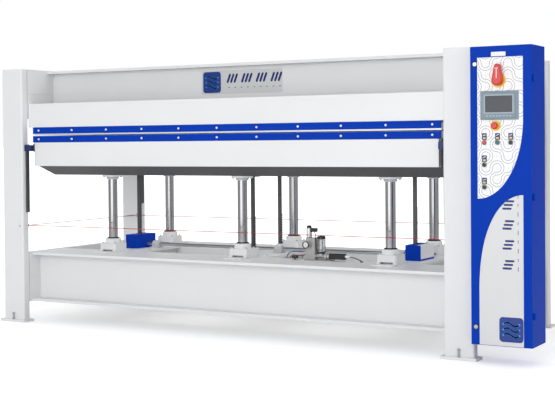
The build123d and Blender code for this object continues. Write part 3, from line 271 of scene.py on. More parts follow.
def surface(name, colour, roughness, metallic=0.0, coat=0.0, specular=0.5, cloud=(2.5, 0.05, 0.1),
            edge=(0.002, 0.0, (1, 1, 1)), grain=(350.0, (1, 1, 1), 0.0003)):
    """Finish with clouded tone and gloss, softened edges that may be worn to another colour, and
    grain. The cloud is (scale, amount, spread), the edge (radius, wear, worn colour) and the grain
    (scale, stretch, height)."""
    material = bpy.data.materials.new(name)
    material.use_nodes = True
    tree = material.node_tree
    toned = place_group(tree, cloud_group, Colour=(*colour, 1), Scale=cloud[0], Amount=cloud[1],
                        Roughness=roughness, Spread=cloud[2])
    toned.name = "tone"
    soft = place_group(tree, edge_group, Radius=edge[0])
    rubbed = math_node(tree, "MULTIPLY", soft.outputs["Edge"], edge[1])
    worn = mix_colours(tree, rubbed, toned.outputs["Colour"], (*edge[2], 1))
    worn.name = "worn"
    fine = place_group(tree, grain_group, Scale=grain[0], Stretch=grain[1])
    bump = add_node(tree, "Bump", Strength=0.35, Distance=grain[2], Height=fine.outputs["Height"],
                    Normal=soft.outputs["Normal"])
    feed(tree.nodes["Principled BSDF"], Base_Color=worn.outputs["Result"], Metallic=metallic,
         Roughness=toned.outputs["Roughness"], Coat_Weight=coat, Coat_Roughness=0.15,
         Specular_IOR_Level=specular, Normal=bump.outputs["Normal"])
    return material


def dress(material, *names):
    """Gives CAD nodes their finish."""
    for name in names:
        for slot in nodes[name].material_slots:
            slot.material = material


def piece(name, bm, material, body, smooth=True):
    """Makes an object of a finished bmesh, which rides on a body and takes its finish from a slot."""
    mesh = bpy.data.meshes.new(name)
    bmesh.ops.recalc_face_normals(bm, faces=bm.faces)
    bm.to_mesh(mesh)
    bm.free()
    mesh.materials.append(material)
    for polygon in mesh.polygons:
        polygon.use_smooth = smooth
    if smooth:
        mesh.set_sharp_from_angle(angle=math.radians(35))
    shown = bpy.data.objects.new(name, mesh)
    bpy.context.scene.collection.objects.link(shown)
    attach(shown, body)
    return shown


def sweep_rings(bm, rings, close_ends=True):
    """Skins a row of vertex rings, each a list of points, and may cap both ends."""
    skin = [[bm.verts.new(point) for point in ring] for ring in rings]
    count = len(skin[0])
    for one, two in zip(skin, skin[1:]):
        for i in range(count):
            bm.faces.new((one[i], one[(i + 1) % count], two[(i + 1) % count], two[i]))
    if close_ends:
        bm.faces.new(skin[0])
        bm.faces.new(skin[-1][::-1])


def circle(centre, side, up, radius, sides):
    """Points round a centre, in the plane of two directions."""
    turns = [math.tau * i / sides for i in range(sides)]
    return [centre + radius * (math.cos(a) * side + math.sin(a) * up) for a in turns]


def weld(bm, start, end, radius=0.004, ripple=0.006):
    """Rippled bead of weld metal along a straight joint, laid halfway into the corner."""
    start, end = machine(*start), machine(*end)
    along = (end - start).normalized()
    side = along.orthogonal().normalized()
    up = along.cross(side)
    steps = max(4, round((end - start).length / ripple * 2))
    rings = []
    for step in range(steps + 1):
        size = radius * (1.0 if step % 2 else 0.86)
        if step in (0, steps):
            size = radius * 0.5
        rings.append(circle(start.lerp(end, step / steps), side, up, size, 8))
    sweep_rings(bm, rings)


FRAME_PAINT = (0.74, 0.745, 0.75)
frame_paint = surface("frame_paint", FRAME_PAINT, 0.45, coat=0.1, specular=0.35,
                      edge=(0.003, 0.3, (0.56, 0.57, 0.58)))
dress(frame_paint, "columns", "base_plates", "girders", "cross_girders", "end_ties", "upper_beams",
      "cylinder_seats", "cylinder_heads", "rack_guides")
column_x, column_y = 1.784, 0.741
column_half_x, column_half_y, column_corner = 0.098, 0.034, 0.014
flat_x, flat_y = column_half_x - column_corner, column_half_y - column_corner
base_top = 0.018
tie_seams, seam_outer, seam_radius = ((1.718, 0.423), (0.34, 0.593)), 0.705, 0.0022
beads = bmesh.new()
for side_x in (-1, 1):
    for side_y in (-1, 1):
        x, y = side_x * column_x, side_y * column_y
        for edge_y in (y - column_half_y, y + column_half_y):
            weld(beads, (x - flat_x, edge_y, base_top), (x + flat_x, edge_y, base_top))
        for edge_x in (x - column_half_x, x + column_half_x):
            weld(beads, (edge_x, y - flat_y, base_top), (edge_x, y + flat_y, base_top))
    inner_x = side_x * (column_x - column_half_x)
    for seam_z, seam_inner in tie_seams:
        for side_y in (-1, 1):
            seam_start = (inner_x, side_y * seam_outer, seam_z)
            weld(beads, seam_start, (inner_x, side_y * seam_inner, seam_z), seam_radius)
piece("frame_welds", beads, frame_paint, "frame")

# Covers and skirts: thin folded sheet, powder coated a shade lighter than the frame and hung
# before the platens and the table.
cover_paint = surface("cover_paint", (0.77, 0.775, 0.78), 0.4, coat=0.15, specular=0.35,
                      edge=(0.0015, 0.25, (0.9, 0.9, 0.9)))
dress(cover_paint, "upper_covers", "table_skirts")

# Table frame and joists: dark grey painted steel behind the covers, its belly sheets scuffed
# along the edges. The dark grey is partly painted shade, standing in for the shade under the table.
dark_paint = surface("dark_paint", (0.07, 0.07, 0.072), 0.5, specular=0.35, cloud=(4.0, 0.25, 0.15),
                     edge=(0.0025, 0.6, (0.42, 0.42, 0.42)))
dress(dark_paint, "table_frame", "fixed_joists", "moving_joists")

# Platens: thick ground plates, oiled, with the grinder's lines along their length. Each is backed
# by an insulation board.
platen_steel = surface("platen_steel", (0.8, 0.8, 0.79), 0.42, metallic=0.35, specular=0.6,
                       edge=(0.001, 0.3, (0.9, 0.9, 0.9)), grain=(60.0, (0.05, 1, 1), 0.0002))
dress(platen_steel, "fixed_platen", "moving_platen")
insulation_board = surface("insulation_board", (0.3, 0.28, 0.25), 0.85, cloud=(14.0, 0.25, 0.1))
dress(insulation_board, "fixed_insulation", "moving_insulation")


# Edge strips: blue powder-coated bars along both platens, front and rear, each held by a row of
# bright domed socket screws.
def lathe(bm, profile, at, axis, sides=24):
    """Turns a profile of (radius, distance along the axis) round an axis through a place. A profile
    that comes back to its first point makes a closed ring, and any other is capped."""
    centre, along = machine(*at), Vector(axis).normalized()
    side = along.orthogonal().normalized()
    up = along.cross(side)
    rings = [circle(centre + along * distance, side, up, radius, sides) for radius, distance in profile]
    sweep_rings(bm, rings, close_ends=profile[0] != profile[-1])


BLUE = (0.0005, 0.040, 0.40)
blue_coat = surface("blue_coat", BLUE, 0.45, specular=0.06, cloud=(1.8, 0.1, 0.1),
                    edge=(0.0015, 0.35, (0.02, 0.14, 0.6)))
dress(blue_coat, "fixed_edge_strips", "moving_edge_strips")
bright_zinc = surface("bright_zinc", (0.86, 0.86, 0.87), 0.3, metallic=0.5, cloud=(60.0, 0.15, 0.15),
                      edge=(0.0005, 0.0, (1, 1, 1)))
DOMED_SCREW = [(0.0078, 0.0), (0.0078, 0.0035), (0.0068, 0.0062), (0.0048, 0.0076), (0.0030, 0.0079),
               (0.0029, 0.0056), (0.0008, 0.0056)]
screw_pitch, screw_count, strip_face = 0.3175, 11, 0.700
fixed_strip_z, moving_strip_z = 1.439, 1.374
for name, body, height in (("fixed_strip_screws", "frame", fixed_strip_z),
                           ("moving_strip_screws", "table", moving_strip_z)):
    screws = bmesh.new()
    for side in (-1, 1):
        for i in range(screw_count):
            x = (i - (screw_count - 1) / 2) * screw_pitch
            lathe(screws, DOMED_SCREW, (x, side * strip_face, height), (0, side, 0))
    piece(name, screws, bright_zinc, body)

# Rams: ground and hard chromed rods, which run in painted barrels and glands and are bolted to
# round plates under the table. A rubber wiper sits on each gland.
ram_chrome = surface("ram_chrome", (0.43, 0.43, 0.435), 0.1, metallic=1.0, cloud=(9.0, 0.1, 0.1),
                     grain=(90.0, (1, 1, 0.05), 0.0001), edge=(0.001, 0.0, (1, 1, 1)))
dress(ram_chrome, "rams")
plate_paint = surface("ram_plate_paint", (0.5, 0.51, 0.52), 0.4, edge=(0.002, 0.3, (0.7, 0.7, 0.7)))
dress(plate_paint, "ram_plates", "shaft_bearings")
barrel_paint = surface("barrel_paint", (0.3, 0.31, 0.32), 0.45)
dress(barrel_paint, "cylinder_barrels")
zinc = surface("zinc_plate", (0.5, 0.51, 0.52), 0.3, metallic=1.0, cloud=(60.0, 0.25, 0.2))
ram_spots = [(x * 1.15, y * 0.373) for x in (-1, 0, 1) for y in (-1, 1)]
SOCKET_SCREW = [(0.0065, 0.0), (0.0065, 0.0085), (0.0058, 0.0095), (0.0036, 0.0095), (0.0034, 0.005),
                (0.001, 0.005)]
gland_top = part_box("cylinder_heads")[1].z
gland_height, gland_screw_reach = 0.035, 0.056
gland_screws = bmesh.new()
for x, y in ram_spots:
    for dx in (-gland_screw_reach, gland_screw_reach):
        for dy in (-gland_screw_reach, gland_screw_reach):
            lathe(gland_screws, SOCKET_SCREW, (x + dx, y + dy, gland_top - gland_height), (0, 0, 1), 16)
piece("gland_screws", gland_screws, zinc, "frame")
wiper_rubber = surface("wiper_rubber", (0.02, 0.02, 0.021), 0.6)
WIPER = [(0.0352, 0.0), (0.0475, 0.0), (0.0475, 0.003), (0.042, 0.0065), (0.0356, 0.009), (0.0352, 0.009),
         (0.0352, 0.0)]
wipers = bmesh.new()
for x, y in ram_spots:
    lathe(wipers, WIPER, (x, y, gland_top), (0, 0, 1), 40)
piece("ram_wipers", wipers, wiper_rubber, "frame")
hex_r, hex_height = 0.0075, 0.006
HEX_HEAD = [(hex_r, 0), (hex_r, hex_height), (hex_r * 0.85, hex_height * 1.2)]
plate_thickness, plate_bolt_circle, plate_bolt_count = 0.014, 0.064, 6
plate_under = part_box("ram_plates")[1].z - plate_thickness
plate_bolts = bmesh.new()
for x, y in ram_spots:
    for i in range(plate_bolt_count):
        angle = math.tau * (i + 0.5) / plate_bolt_count
        spot = (x + plate_bolt_circle * math.cos(angle), y + plate_bolt_circle * math.sin(angle), plate_under)
        lathe(plate_bolts, HEX_HEAD, spot, (0, 0, -1), 6)
piece("ram_plate_bolts", plate_bolts, zinc, "table", smooth=False)

# Levelling gear: machined racks, pinions and guide rails, dark with grease, with ground shafts.
# The oil pipes beside it inside the girders are plain drawn steel.
gear_steel = surface("gear_steel", (0.1, 0.1, 0.102), 0.42, metallic=0.7, cloud=(20.0, 0.4, 0.25),
                     edge=(0.0006, 0.4, (0.4, 0.4, 0.4)))
dress(gear_steel, "long_racks", "cross_racks", "cross_shaft", "guide_rails")
pipe_steel = surface("pipe_steel", (0.35, 0.35, 0.36), 0.4, metallic=0.9, cloud=(20.0, 0.3, 0.2))
dress(pipe_steel, "oil_pipes")
shaft_steel = surface("shaft_steel", (0.62, 0.63, 0.64), 0.3, metallic=0.9,
                      grain=(120.0, (0.05, 1, 1), 0.0001))
dress(shaft_steel, "long_shaft")

# Pinion boxes: blue housings round the end pinions. The right one has a light folded cover screwed
# over its end, which turns in over its top as far as the rack.
dress(blue_coat, "pinion_boxes")
box_low, box_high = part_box("pinion_boxes")
box_end = box_high.x - press_middle.x
box_front, box_back = box_low.y - press_middle.y, box_high.y - press_middle.y
box_top, box_foot = box_high.z, 0.532
rack_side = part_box("long_racks")[1].x - press_middle.x
rack_gap, seat_gap = 0.005, 0.0002
cover_gauge, cover_fold, cover_inset = 0.0015, 0.004, 0.008
cover_start = rack_side + rack_gap
profile = [(cover_start, box_top + seat_gap), (cover_start, box_top + cover_gauge)]
for turn in range(5):
    angle = math.pi / 2 * turn / 4
    profile.append((box_end + cover_gauge - cover_fold * (1 - math.sin(angle)),
                    box_top + cover_gauge - cover_fold * (1 - math.cos(angle))))
profile += [(box_end + cover_gauge, box_foot), (box_end + seat_gap, box_foot),
            (box_end + seat_gap, box_top + seat_gap)]
fold = bmesh.new()
sweep_rings(fold, [[machine(x, y, z) for x, z in profile]
                   for y in (box_front + cover_inset, box_back - cover_inset)])
piece("pinion_box_cover", fold, cover_paint, "frame", smooth=False)
SMALL_SCREW = [(radius * 0.6, distance * 0.6) for radius, distance in DOMED_SCREW]
cover_screws = bmesh.new()
for y in (box_front + 0.03, box_back - 0.03):
    for z in (box_foot + 0.015, box_top - 0.02):
        lathe(cover_screws, SMALL_SCREW, (box_end + cover_gauge, y, z), (1, 0, 0), 16)
piece("box_cover_screws", cover_screws, bright_zinc, "frame")

# Guide shoes, levelling bolts and rope eyes: navy painted shoes bolted to the table, and
# zinc-plated bolts and eyes screwed into the columns and their feet.
navy_paint = surface("navy_paint", (0.004, 0.016, 0.12), 0.4, edge=(0.001, 0.3, (0.1, 0.15, 0.3)))
dress(navy_paint, "guide_shoes")
dress(zinc, "levelling_bolts", "rope_eyes")

# Trip rope: a steel cord in a red plastic sheath, pulled taut from the switch on the right front
# column through the eye bolts to a crimped ferrule, with a tension spring before the left rear eye.
rope_z, rope_x, rope_y, rope_d = 0.723, 1.7218, 0.6838, 0.005
rope_start, rope_end = 1.676, 1.724
from_eye = 0.03
rope_route = [
    (rope_start, -rope_y, rope_z),
    (from_eye - rope_x, -rope_y, rope_z),
    (-rope_x, -rope_y, rope_z),
    (-rope_x, from_eye - rope_y, rope_z),
    (-rope_x, rope_y - from_eye, rope_z),
    (-rope_x, rope_y, rope_z),
    (from_eye - rope_x, rope_y, rope_z),
    (rope_end, rope_y, rope_z),
]


def cord_piece(name, route, diameter, material, body):
    """Round cord on a smooth line through a route given from the press's middle."""
    curve = bpy.data.curves.new(name, "CURVE")
    curve.dimensions = "3D"
    curve.bevel_depth = diameter / 2
    curve.bevel_resolution = 3
    curve.use_fill_caps = True
    curve.resolution_u = 16
    line = curve.splines.new("NURBS")
    line.points.add(len(route) - 1)
    for point, spot in zip(line.points, route):
        point.co = (*machine(*spot), 1)
    line.order_u = 3
    line.use_endpoint_u = True
    curve.materials.append(material)
    shown = bpy.data.objects.new(name, curve)
    bpy.context.scene.collection.objects.link(shown)
    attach(shown, body)
    return shown


rope_sheath = surface("rope_sheath", (0.42, 0.004, 0.012), 0.5, cloud=(6.0, 0.3, 0.1),
                      grain=(900.0, (0.3, 1, 1), 0.0003))
rope = cord_piece("rope_line", rope_route, rope_d, rope_sheath, "frame")
FERRULE = [(0.0027, 0.0), (0.0048, 0.0005), (0.0055, 0.002), (0.0052, 0.005), (0.0055, 0.008),
           (0.0052, 0.011), (0.0055, 0.015), (0.0048, 0.0175), (0.0005, 0.018)]
crimp = bmesh.new()
lathe(crimp, FERRULE, (rope_end, rope_y, rope_z), (1, 0, 0))
ferrule = piece("rope_ferrule", crimp, bright_zinc, "frame")
spring_start, spring_length, spring_wire, spring_r = 0.566, 0.084, 0.0011, 0.0044
spring_turns, turn_steps = 26, 12
helix_steps = spring_turns * turn_steps
helix = []
for step in range(helix_steps + 1):
    angle = math.tau * step / turn_steps
    y = spring_start + spring_length * step / helix_steps
    helix.append(Vector((spring_r * math.cos(angle) - rope_x, y, spring_r * math.sin(angle))))
rings = []
for before, here, after in zip([helix[0]] + helix, helix, helix[1:] + [helix[-1]]):
    along = (after - before).normalized()
    side = along.cross(Vector((0, 1, 0))).normalized()
    rings.append(circle(machine(here.x, here.y, rope_z + here.z), side, along.cross(side), spring_wire, 6))
coil = bmesh.new()
sweep_rings(coil, rings)
brass = surface("brass", (0.55, 0.36, 0.14), 0.35, metallic=0.9, cloud=(60.0, 0.2, 0.2))
spring = piece("rope_spring", coil, brass, "frame")
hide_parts("trip_rope")
switch_plastic = surface("switch_plastic", (0.5, 0.51, 0.52), 0.5, cloud=(12.0, 0.1, 0.1),
                         edge=(0.0015, 0.3, (0.7, 0.7, 0.7)))
dress(switch_plastic, "rope_switch", "switchgear")

# Valve group on the front deck: machined block on its foot, upright solenoid with a black plug,
# pressure gauge, clear oil bowl in a wire guard, a coil on the side spool and its lead.
valve_metal = surface("valve_metal", (0.42, 0.42, 0.41), 0.36, metallic=0.75, cloud=(30.0, 0.25, 0.2),
                      edge=(0.001, 0.5, (0.8, 0.8, 0.8)))
light_metal = surface("light_metal", (0.72, 0.72, 0.71), 0.32, metallic=0.7, cloud=(30.0, 0.2, 0.2),
                      edge=(0.0006, 0.4, (0.9, 0.9, 0.9)))
black_plastic = surface("black_plastic", (0.012, 0.012, 0.014), 0.38, cloud=(40.0, 0.3, 0.1),
                        edge=(0.0008, 0.3, (0.12, 0.12, 0.12)))
dress(valve_metal, "valve_block")
dress(black_plastic, "valve_coils")
bowl_plastic = surface("bowl_plastic", (0.85, 0.87, 0.87), 0.1, edge=(0.001, 0.0, (1, 1, 1)))
feed(bowl_plastic.node_tree.nodes["Principled BSDF"], Transmission_Weight=0.75, IOR=1.3)
dress(bowl_plastic, "valve_bowl")
deck, valve_y, solenoid_x, bowl_x = 0.52, -0.335, 0.516, 0.610
sleeve_bore, sleeve_r, groove_r, sleeve_height, sleeve_foot = 0.0172, 0.0196, 0.0184, 0.064, 0.678
rib_count, rib_pitch, rib_height = 5, 0.0125, 0.009
ribs = [(sleeve_bore, 0.0)]
for i in range(rib_count):
    z = 0.002 + i * rib_pitch
    ribs += [(sleeve_r, z), (sleeve_r, z + rib_height), (groove_r, z + 0.0095), (groove_r, z + 0.0120)]
ribs += [(sleeve_bore, sleeve_height), (sleeve_bore, 0.0)]
sleeve = bmesh.new()
lathe(sleeve, ribs, (solenoid_x, valve_y, sleeve_foot), (0, 0, 1), 32)
piece("solenoid_sleeve", sleeve, light_metal, "frame")
gauge_x, gauge_face_y, gauge_z = 0.514, -0.381, 0.628
GAUGE_RIM = [(0.0195, 0.0), (0.0235, 0.0005), (0.0245, 0.003), (0.0245, 0.009), (0.0235, 0.0105),
             (0.0212, 0.0105), (0.0208, 0.006), (0.0195, 0.006), (0.0195, 0.0)]
gauge_rim = bmesh.new()
lathe(gauge_rim, GAUGE_RIM, (gauge_x, gauge_face_y, gauge_z), (0, -1, 0), 40)
piece("gauge_rim", gauge_rim, black_plastic, "frame")
gauge_white = surface("gauge_white", (0.85, 0.85, 0.84), 0.4, cloud=(80.0, 0.05, 0.05))
dial_height = 0.0045
DIAL = [(0.0206, 0.0), (0.0206, 0.004), (0.019, dial_height), (0.0005, dial_height)]
gauge_dial = bmesh.new()
lathe(gauge_dial, DIAL, (gauge_x, gauge_face_y, gauge_z), (0, -1, 0), 40)
piece("gauge_dial", gauge_dial, gauge_white, "frame")


def plate(bm, outline, place, thickness, facing=(0, -1, 0), across=(1, 0, 0)):
    """Flat shape of (across, up) points with a softened front rim, laid on a face."""
    out, right = Vector(facing), Vector(across)
    up = right.cross(out) * (1 if right.cross(out).z >= 0 else -1)
    centre = machine(*place)
    middle_u = sum(u for u, v in outline) / len(outline)
    middle_v = sum(v for u, v in outline) / len(outline)
    rim = min(thickness * 0.5, 0.0006)
    rings = []
    for depth, pull in ((0.0, 0.0), (thickness - rim, 0.0), (thickness, rim)):
        ring = []
        for u, v in outline:
            away = math.hypot(u - middle_u, v - middle_v) or 1
            ring.append(centre + out * depth + right * (u - (u - middle_u) / away * pull)
                        + up * (v - (v - middle_v) / away * pull))
        rings.append(ring)
    sweep_rings(bm, rings)


def rounded(width, height, corner, at=(0, 0), steps=4):
    """Outline of a rectangle with round corners."""
    points = []
    for quarter, (side_x, side_y) in enumerate(((1, 1), (-1, 1), (-1, -1), (1, -1))):
        for step in range(steps + 1):
            angle = math.pi / 2 * (quarter + step / steps)
            points.append((at[0] + side_x * (width / 2 - corner) + corner * math.cos(angle),
                           at[1] + side_y * (height / 2 - corner) + corner * math.sin(angle)))
    return points


def stroke(one, two, width):
    """Outline of a straight bar with round ends between two points."""
    (x0, y0), (x1, y1) = one, two
    heading = math.atan2(y1 - y0, x1 - x0)
    points = []
    for end_x, end_y, start in ((x1, y1, heading - math.pi / 2), (x0, y0, heading + math.pi / 2)):
        for step in range(5):
            angle = start + math.pi * step / 4
            points.append((end_x + width / 2 * math.cos(angle), end_y + width / 2 * math.sin(angle)))
    return points


dial_face = (gauge_x, gauge_face_y - dial_height, gauge_z)
scale_outer, long_mark, short_mark = 0.0175, 0.0135, 0.0152
mark_width, mark_height, needle_width, needle_height = 0.0009, 0.0003, 0.0014, 0.001
dial_marks = bmesh.new()
for i in range(9):
    angle = math.radians(225 - 270 * i / 8)
    scale_inner = short_mark if i % 2 else long_mark
    ends = [(reach * math.cos(angle), reach * math.sin(angle)) for reach in (scale_inner, scale_outer)]
    plate(dial_marks, stroke(*ends, mark_width), dial_face, mark_height)
plate(dial_marks, stroke((-0.003, 0.004), (0.008, -0.011), needle_width), dial_face, needle_height)
piece("gauge_marks", dial_marks, black_plastic, "frame", smooth=False)
guard_foot, guard_top, wire_foot = 0.569, 0.6695, 0.578
guard_bore, guard_r, band_height = 0.0272, 0.0300, 0.012
GUARD_BAND = [(guard_bore, 0.0), (guard_r, 0.0), (guard_r, band_height), (guard_bore, band_height),
              (guard_bore, 0.0)]
GUARD_CAP = [(0.0222, 0.0), (guard_r, 0.0), (guard_r, band_height), (0.026, 0.018), (0.0100, 0.020),
             (0.0100, 0.0), (0.0222, 0.0)]
wire_count, wire_r, wire_circle, wire_length = 6, 0.0016, 0.0287, 0.096
guard = bmesh.new()
lathe(guard, GUARD_BAND, (bowl_x, valve_y, guard_foot), (0, 0, 1), 32)
lathe(guard, GUARD_CAP, (bowl_x, valve_y, guard_top), (0, 0, 1), 32)
for i in range(wire_count):
    angle = math.tau * i / wire_count + 0.2
    spot = (bowl_x + wire_circle * math.cos(angle), valve_y + wire_circle * math.sin(angle), wire_foot)
    lathe(guard, [(wire_r, 0.0), (wire_r, wire_length)], spot, (0, 0, 1), 8)
piece("bowl_guard", guard, black_plastic, "frame")
coil_right, coil_z = 0.795, 0.552
tube_y, tube_heights, tube_r = valve_y + 0.004, (0.548, 0.574), 0.0035
BOWL_NUT = [(0.017, 0.0), (0.022, 0.0), (0.022, 0.010), (0.019, 0.013), (0.017, 0.013)]
SPOOL_NUT = [(0.0192, 0.0), (0.0245, 0.001), (0.0245, 0.014), (0.0192, 0.015)]
SPOOL_RING = [(0.0192, 0.0), (0.0225, 0.001), (0.0225, 0.012), (0.0192, 0.013)]
TUBE_NUT = [(0.008, 0.0), (0.012, 0.001), (0.012, 0.011), (0.008, 0.012)]
TUBE_COLLET = [(0.0045, 0.0), (0.0085, 0.0), (0.0080, 0.009), (0.0045, 0.010)]
fittings = bmesh.new()
lathe(fittings, BOWL_NUT, (bowl_x, valve_y, 0.557), (0, 0, 1), 6)
lathe(fittings, SPOOL_NUT, (0.640, valve_y, coil_z), (1, 0, 0), 6)
lathe(fittings, SPOOL_RING, (0.6635, valve_y, coil_z), (1, 0, 0), 24)
for z in tube_heights:
    lathe(fittings, TUBE_NUT, (0.4995, tube_y, z), (-1, 0, 0), 6)
    lathe(fittings, TUBE_COLLET, (0.4880, tube_y, z), (-1, 0, 0), 16)
piece("valve_fittings", fittings, light_metal, "frame")
tube_blue = surface("tube_blue", (0.02, 0.09, 0.3), 0.4, cloud=(30.0, 0.2, 0.1))
tube_copper = surface("tube_copper", (0.42, 0.16, 0.09), 0.35, metallic=0.6, cloud=(30.0, 0.3, 0.2))


def bent_tube(name, route, radius, material):
    """Rigid tube bent on the bench: a skin round a line with smoothly turned corners."""
    corner_share, corner_steps = 0.45, 8
    path = [Vector(route[0])]
    for before, here, after in zip(route, route[1:], route[2:]):
        before, here, after = Vector(before), Vector(here), Vector(after)
        cut = min((before - here).length, (after - here).length) * corner_share
        start = here + (before - here).normalized() * cut
        end = here + (after - here).normalized() * cut
        for step in range(corner_steps + 1):
            t = step / corner_steps
            path.append((1 - t) ** 2 * start + 2 * t * (1 - t) * here + t ** 2 * end)
    path.append(Vector(route[-1]))
    rings = []
    side = Vector((0, 0, 1))
    for before, here, after in zip([path[0]] + path, path, path[1:] + [path[-1]]):
        along = (after - before).normalized()
        side = (side - along * side.dot(along)).normalized()
        rings.append(circle(machine(*here), side, along.cross(side), radius, 12))
    skin = bmesh.new()
    sweep_rings(skin, rings)
    return piece(name, skin, material, "frame")


lower_z, upper_z = tube_heights
upper_route = [(0.484, tube_y, upper_z), (0.40, tube_y + 0.008, upper_z), (0.31, -0.262, 0.560),
               (0.27, -0.255, 0.48)]
lower_route = [(0.484, tube_y, lower_z), (0.42, tube_y + 0.008, lower_z), (0.34, -0.270, 0.545),
               (0.30, -0.262, 0.48)]
plug_route = [(0.560, valve_y - 0.006, 0.718), (0.574, valve_y - 0.012, 0.690),
              (0.580, valve_y - 0.028, 0.640), (0.584, valve_y - 0.028, 0.600),
              (0.594, valve_y - 0.020, 0.575)]
bent_tube("oil_tube_upper", upper_route, tube_r, tube_blue)
bent_tube("oil_tube_lower", lower_route, tube_r, tube_copper)
bent_tube("plug_conduit", plug_route, 0.003, black_plastic)
knob_x, knob_y, knob_flutes, flute_depth, knob_stem = 0.408, -0.345, 12, 0.05, 0.006
KNOB_STEM = [(knob_stem, 0.0), (knob_stem, 0.008)]
KNOB_GRIP = [(0.0216, 0.009), (0.024, 0.012), (0.024, 0.024), (0.02232, 0.028)]
KNOB_CENTRE = [(0.0012, 0.029)]
rings = []
for rows, depth in ((KNOB_STEM, 0), (KNOB_GRIP, flute_depth), (KNOB_CENTRE, 0)):
    for radius, height in rows:
        ring = []
        for i in range(knob_flutes * 6):
            angle = math.tau * i / (knob_flutes * 6)
            fluted = radius * (1 - depth * (0.5 + 0.5 * math.cos(knob_flutes * angle)))
            x, y = knob_x + fluted * math.cos(angle), knob_y + fluted * math.sin(angle)
            ring.append(machine(x, y, deck + height))
        rings.append(ring)
knob = bmesh.new()
sweep_rings(knob, rings)
piece("valve_knob", knob, black_plastic, "frame")
lead_route = [(coil_right, valve_y, coil_z), (coil_right + 0.045, valve_y, coil_z),
              (coil_right + 0.092, valve_y, coil_z - 0.012), (coil_right + 0.118, valve_y, 0.5287)]
lead_d, lead_length = 0.006, 0.122
lead = cord_piece("coil_lead", lead_route, lead_d, black_plastic, "frame")
LEAD_BOOT = [(0.0033, 0.0), (0.0095, 0.0), (0.0095, 0.006), (0.0075, 0.008), (0.0070, 0.012),
             (0.0060, 0.022), (0.0045, 0.032), (0.0033, 0.034), (0.0033, 0.0)]
boot = bmesh.new()
lathe(boot, LEAD_BOOT, (coil_right, valve_y, coil_z), (1, 0, 0))
lead_boot = piece("lead_boot", boot, gauge_white, "frame")
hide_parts("valve_lead")

# Control cabinet: folded and welded sheet, powder coated the same blue, with a tray door on three
# knuckle hinges.
dress(blue_coat, "cabinet_box", "cabinet_door")

# Door film: printed film with a grey tile grid and rounded double lines above the sweep, and plain
# light grey below it; both are edged white where the print stops short.
overlay_film = surface("overlay_film", (0.66, 0.665, 0.67), 0.3, coat=0.2, specular=0.4,
                       edge=(0.0035, 1.0, (0.88, 0.88, 0.88)))
tile_size, tile_line, motif_line = 0.069, 0.0012, 0.0026
arc_shares = (0.38, 0.62)
tiles, given, made = group("tile_print", [("Size", FLOAT, tile_size), ("Grid", FLOAT, tile_line),
                                          ("Line", FLOAT, motif_line)], [("Grid", FLOAT), ("Motif", FLOAT)])
tile_math = partial(math_node, tiles)
place = add_node(tiles, "TexCoord")
place_parts = add_node(tiles, "SeparateXYZ", Vector=place.outputs["Object"])
size = given.outputs["Size"]
across_tiles = tile_math("DIVIDE", place_parts.outputs["X"], size)
up_tiles = tile_math("DIVIDE", place_parts.outputs["Z"], size)
tile_column = tile_math("FLOOR", across_tiles)
tile_row = tile_math("FLOOR", up_tiles)
u = tile_math("SUBTRACT", across_tiles, tile_column)
v = tile_math("SUBTRACT", up_tiles, tile_row)
cell = add_node(tiles, "CombineXYZ", X=tile_column, Y=tile_row)
chance = add_node(tiles, "TexWhiteNoise")
chance.noise_dimensions = "2D"
feed(chance, Vector=cell.outputs[0])
flip = tile_math("GREATER_THAN", chance.outputs["Value"], 0.5)
from_right = tile_math("SUBTRACT", 1.0, u)
from_top = tile_math("SUBTRACT", 1.0, v)
kept = tile_math("MULTIPLY", u, tile_math("SUBTRACT", 1.0, flip))
u_turned = tile_math("ADD", kept, tile_math("MULTIPLY", from_right, flip))
half_grid = tile_math("DIVIDE", tile_math("MULTIPLY", given.outputs["Grid"], 0.5), size)
nearest = tile_math("MINIMUM", tile_math("MINIMUM", u, from_right), tile_math("MINIMUM", v, from_top))
half_line = tile_math("DIVIDE", tile_math("MULTIPLY", given.outputs["Line"], 0.5), size)
lines = 0.0
for corner in (0.0, 1.0):
    off_u = tile_math("POWER", tile_math("SUBTRACT", u_turned, corner), 2.0)
    off_v = tile_math("POWER", tile_math("SUBTRACT", v, corner), 2.0)
    from_corner = tile_math("SQRT", tile_math("ADD", off_u, off_v))
    for arc in arc_shares:
        off_line = tile_math("ABSOLUTE", tile_math("SUBTRACT", from_corner, arc))
        lines = tile_math("MAXIMUM", lines, tile_math("LESS_THAN", off_line, half_line))
feed(made, Grid=tile_math("LESS_THAN", nearest, half_grid), Motif=lines)
film_tree = overlay_film.node_tree
film_math = partial(math_node, film_tree)
film_place = add_node(film_tree, "TexCoord")
film_parts = add_node(film_tree, "SeparateXYZ", Vector=film_place.outputs["Object"])
sweep_x, sweep_z, sweep_slope = machine(2.069, 0, 0).x, 1.0, 0.2
lean = film_math("MULTIPLY", film_math("SUBTRACT", film_parts.outputs["X"], sweep_x), sweep_slope)
upper_field = film_math("GREATER_THAN", film_math("SUBTRACT", film_parts.outputs["Z"], lean), sweep_z)
tile_print = place_group(film_tree, tiles, Size=tile_size, Grid=tile_line, Line=motif_line)
upper_grid = film_math("MULTIPLY", upper_field, tile_print.outputs["Grid"])
upper_motif = film_math("MULTIPLY", upper_field, tile_print.outputs["Motif"])
UPPER_WHITE, GRID_GREY, MOTIF_GREY = (0.84, 0.845, 0.85), (0.6, 0.61, 0.62), (0.2, 0.2, 0.21)
printed = film_tree.nodes["tone"].outputs["Colour"]
for mask, colour in ((upper_field, UPPER_WHITE), (upper_grid, GRID_GREY), (upper_motif, MOTIF_GREY)):
    printed = mix_colours(film_tree, mask, printed, (*colour, 1)).outputs["Result"]
feed(film_tree.nodes["worn"], A=printed)
dress(overlay_film, "door_overlays")

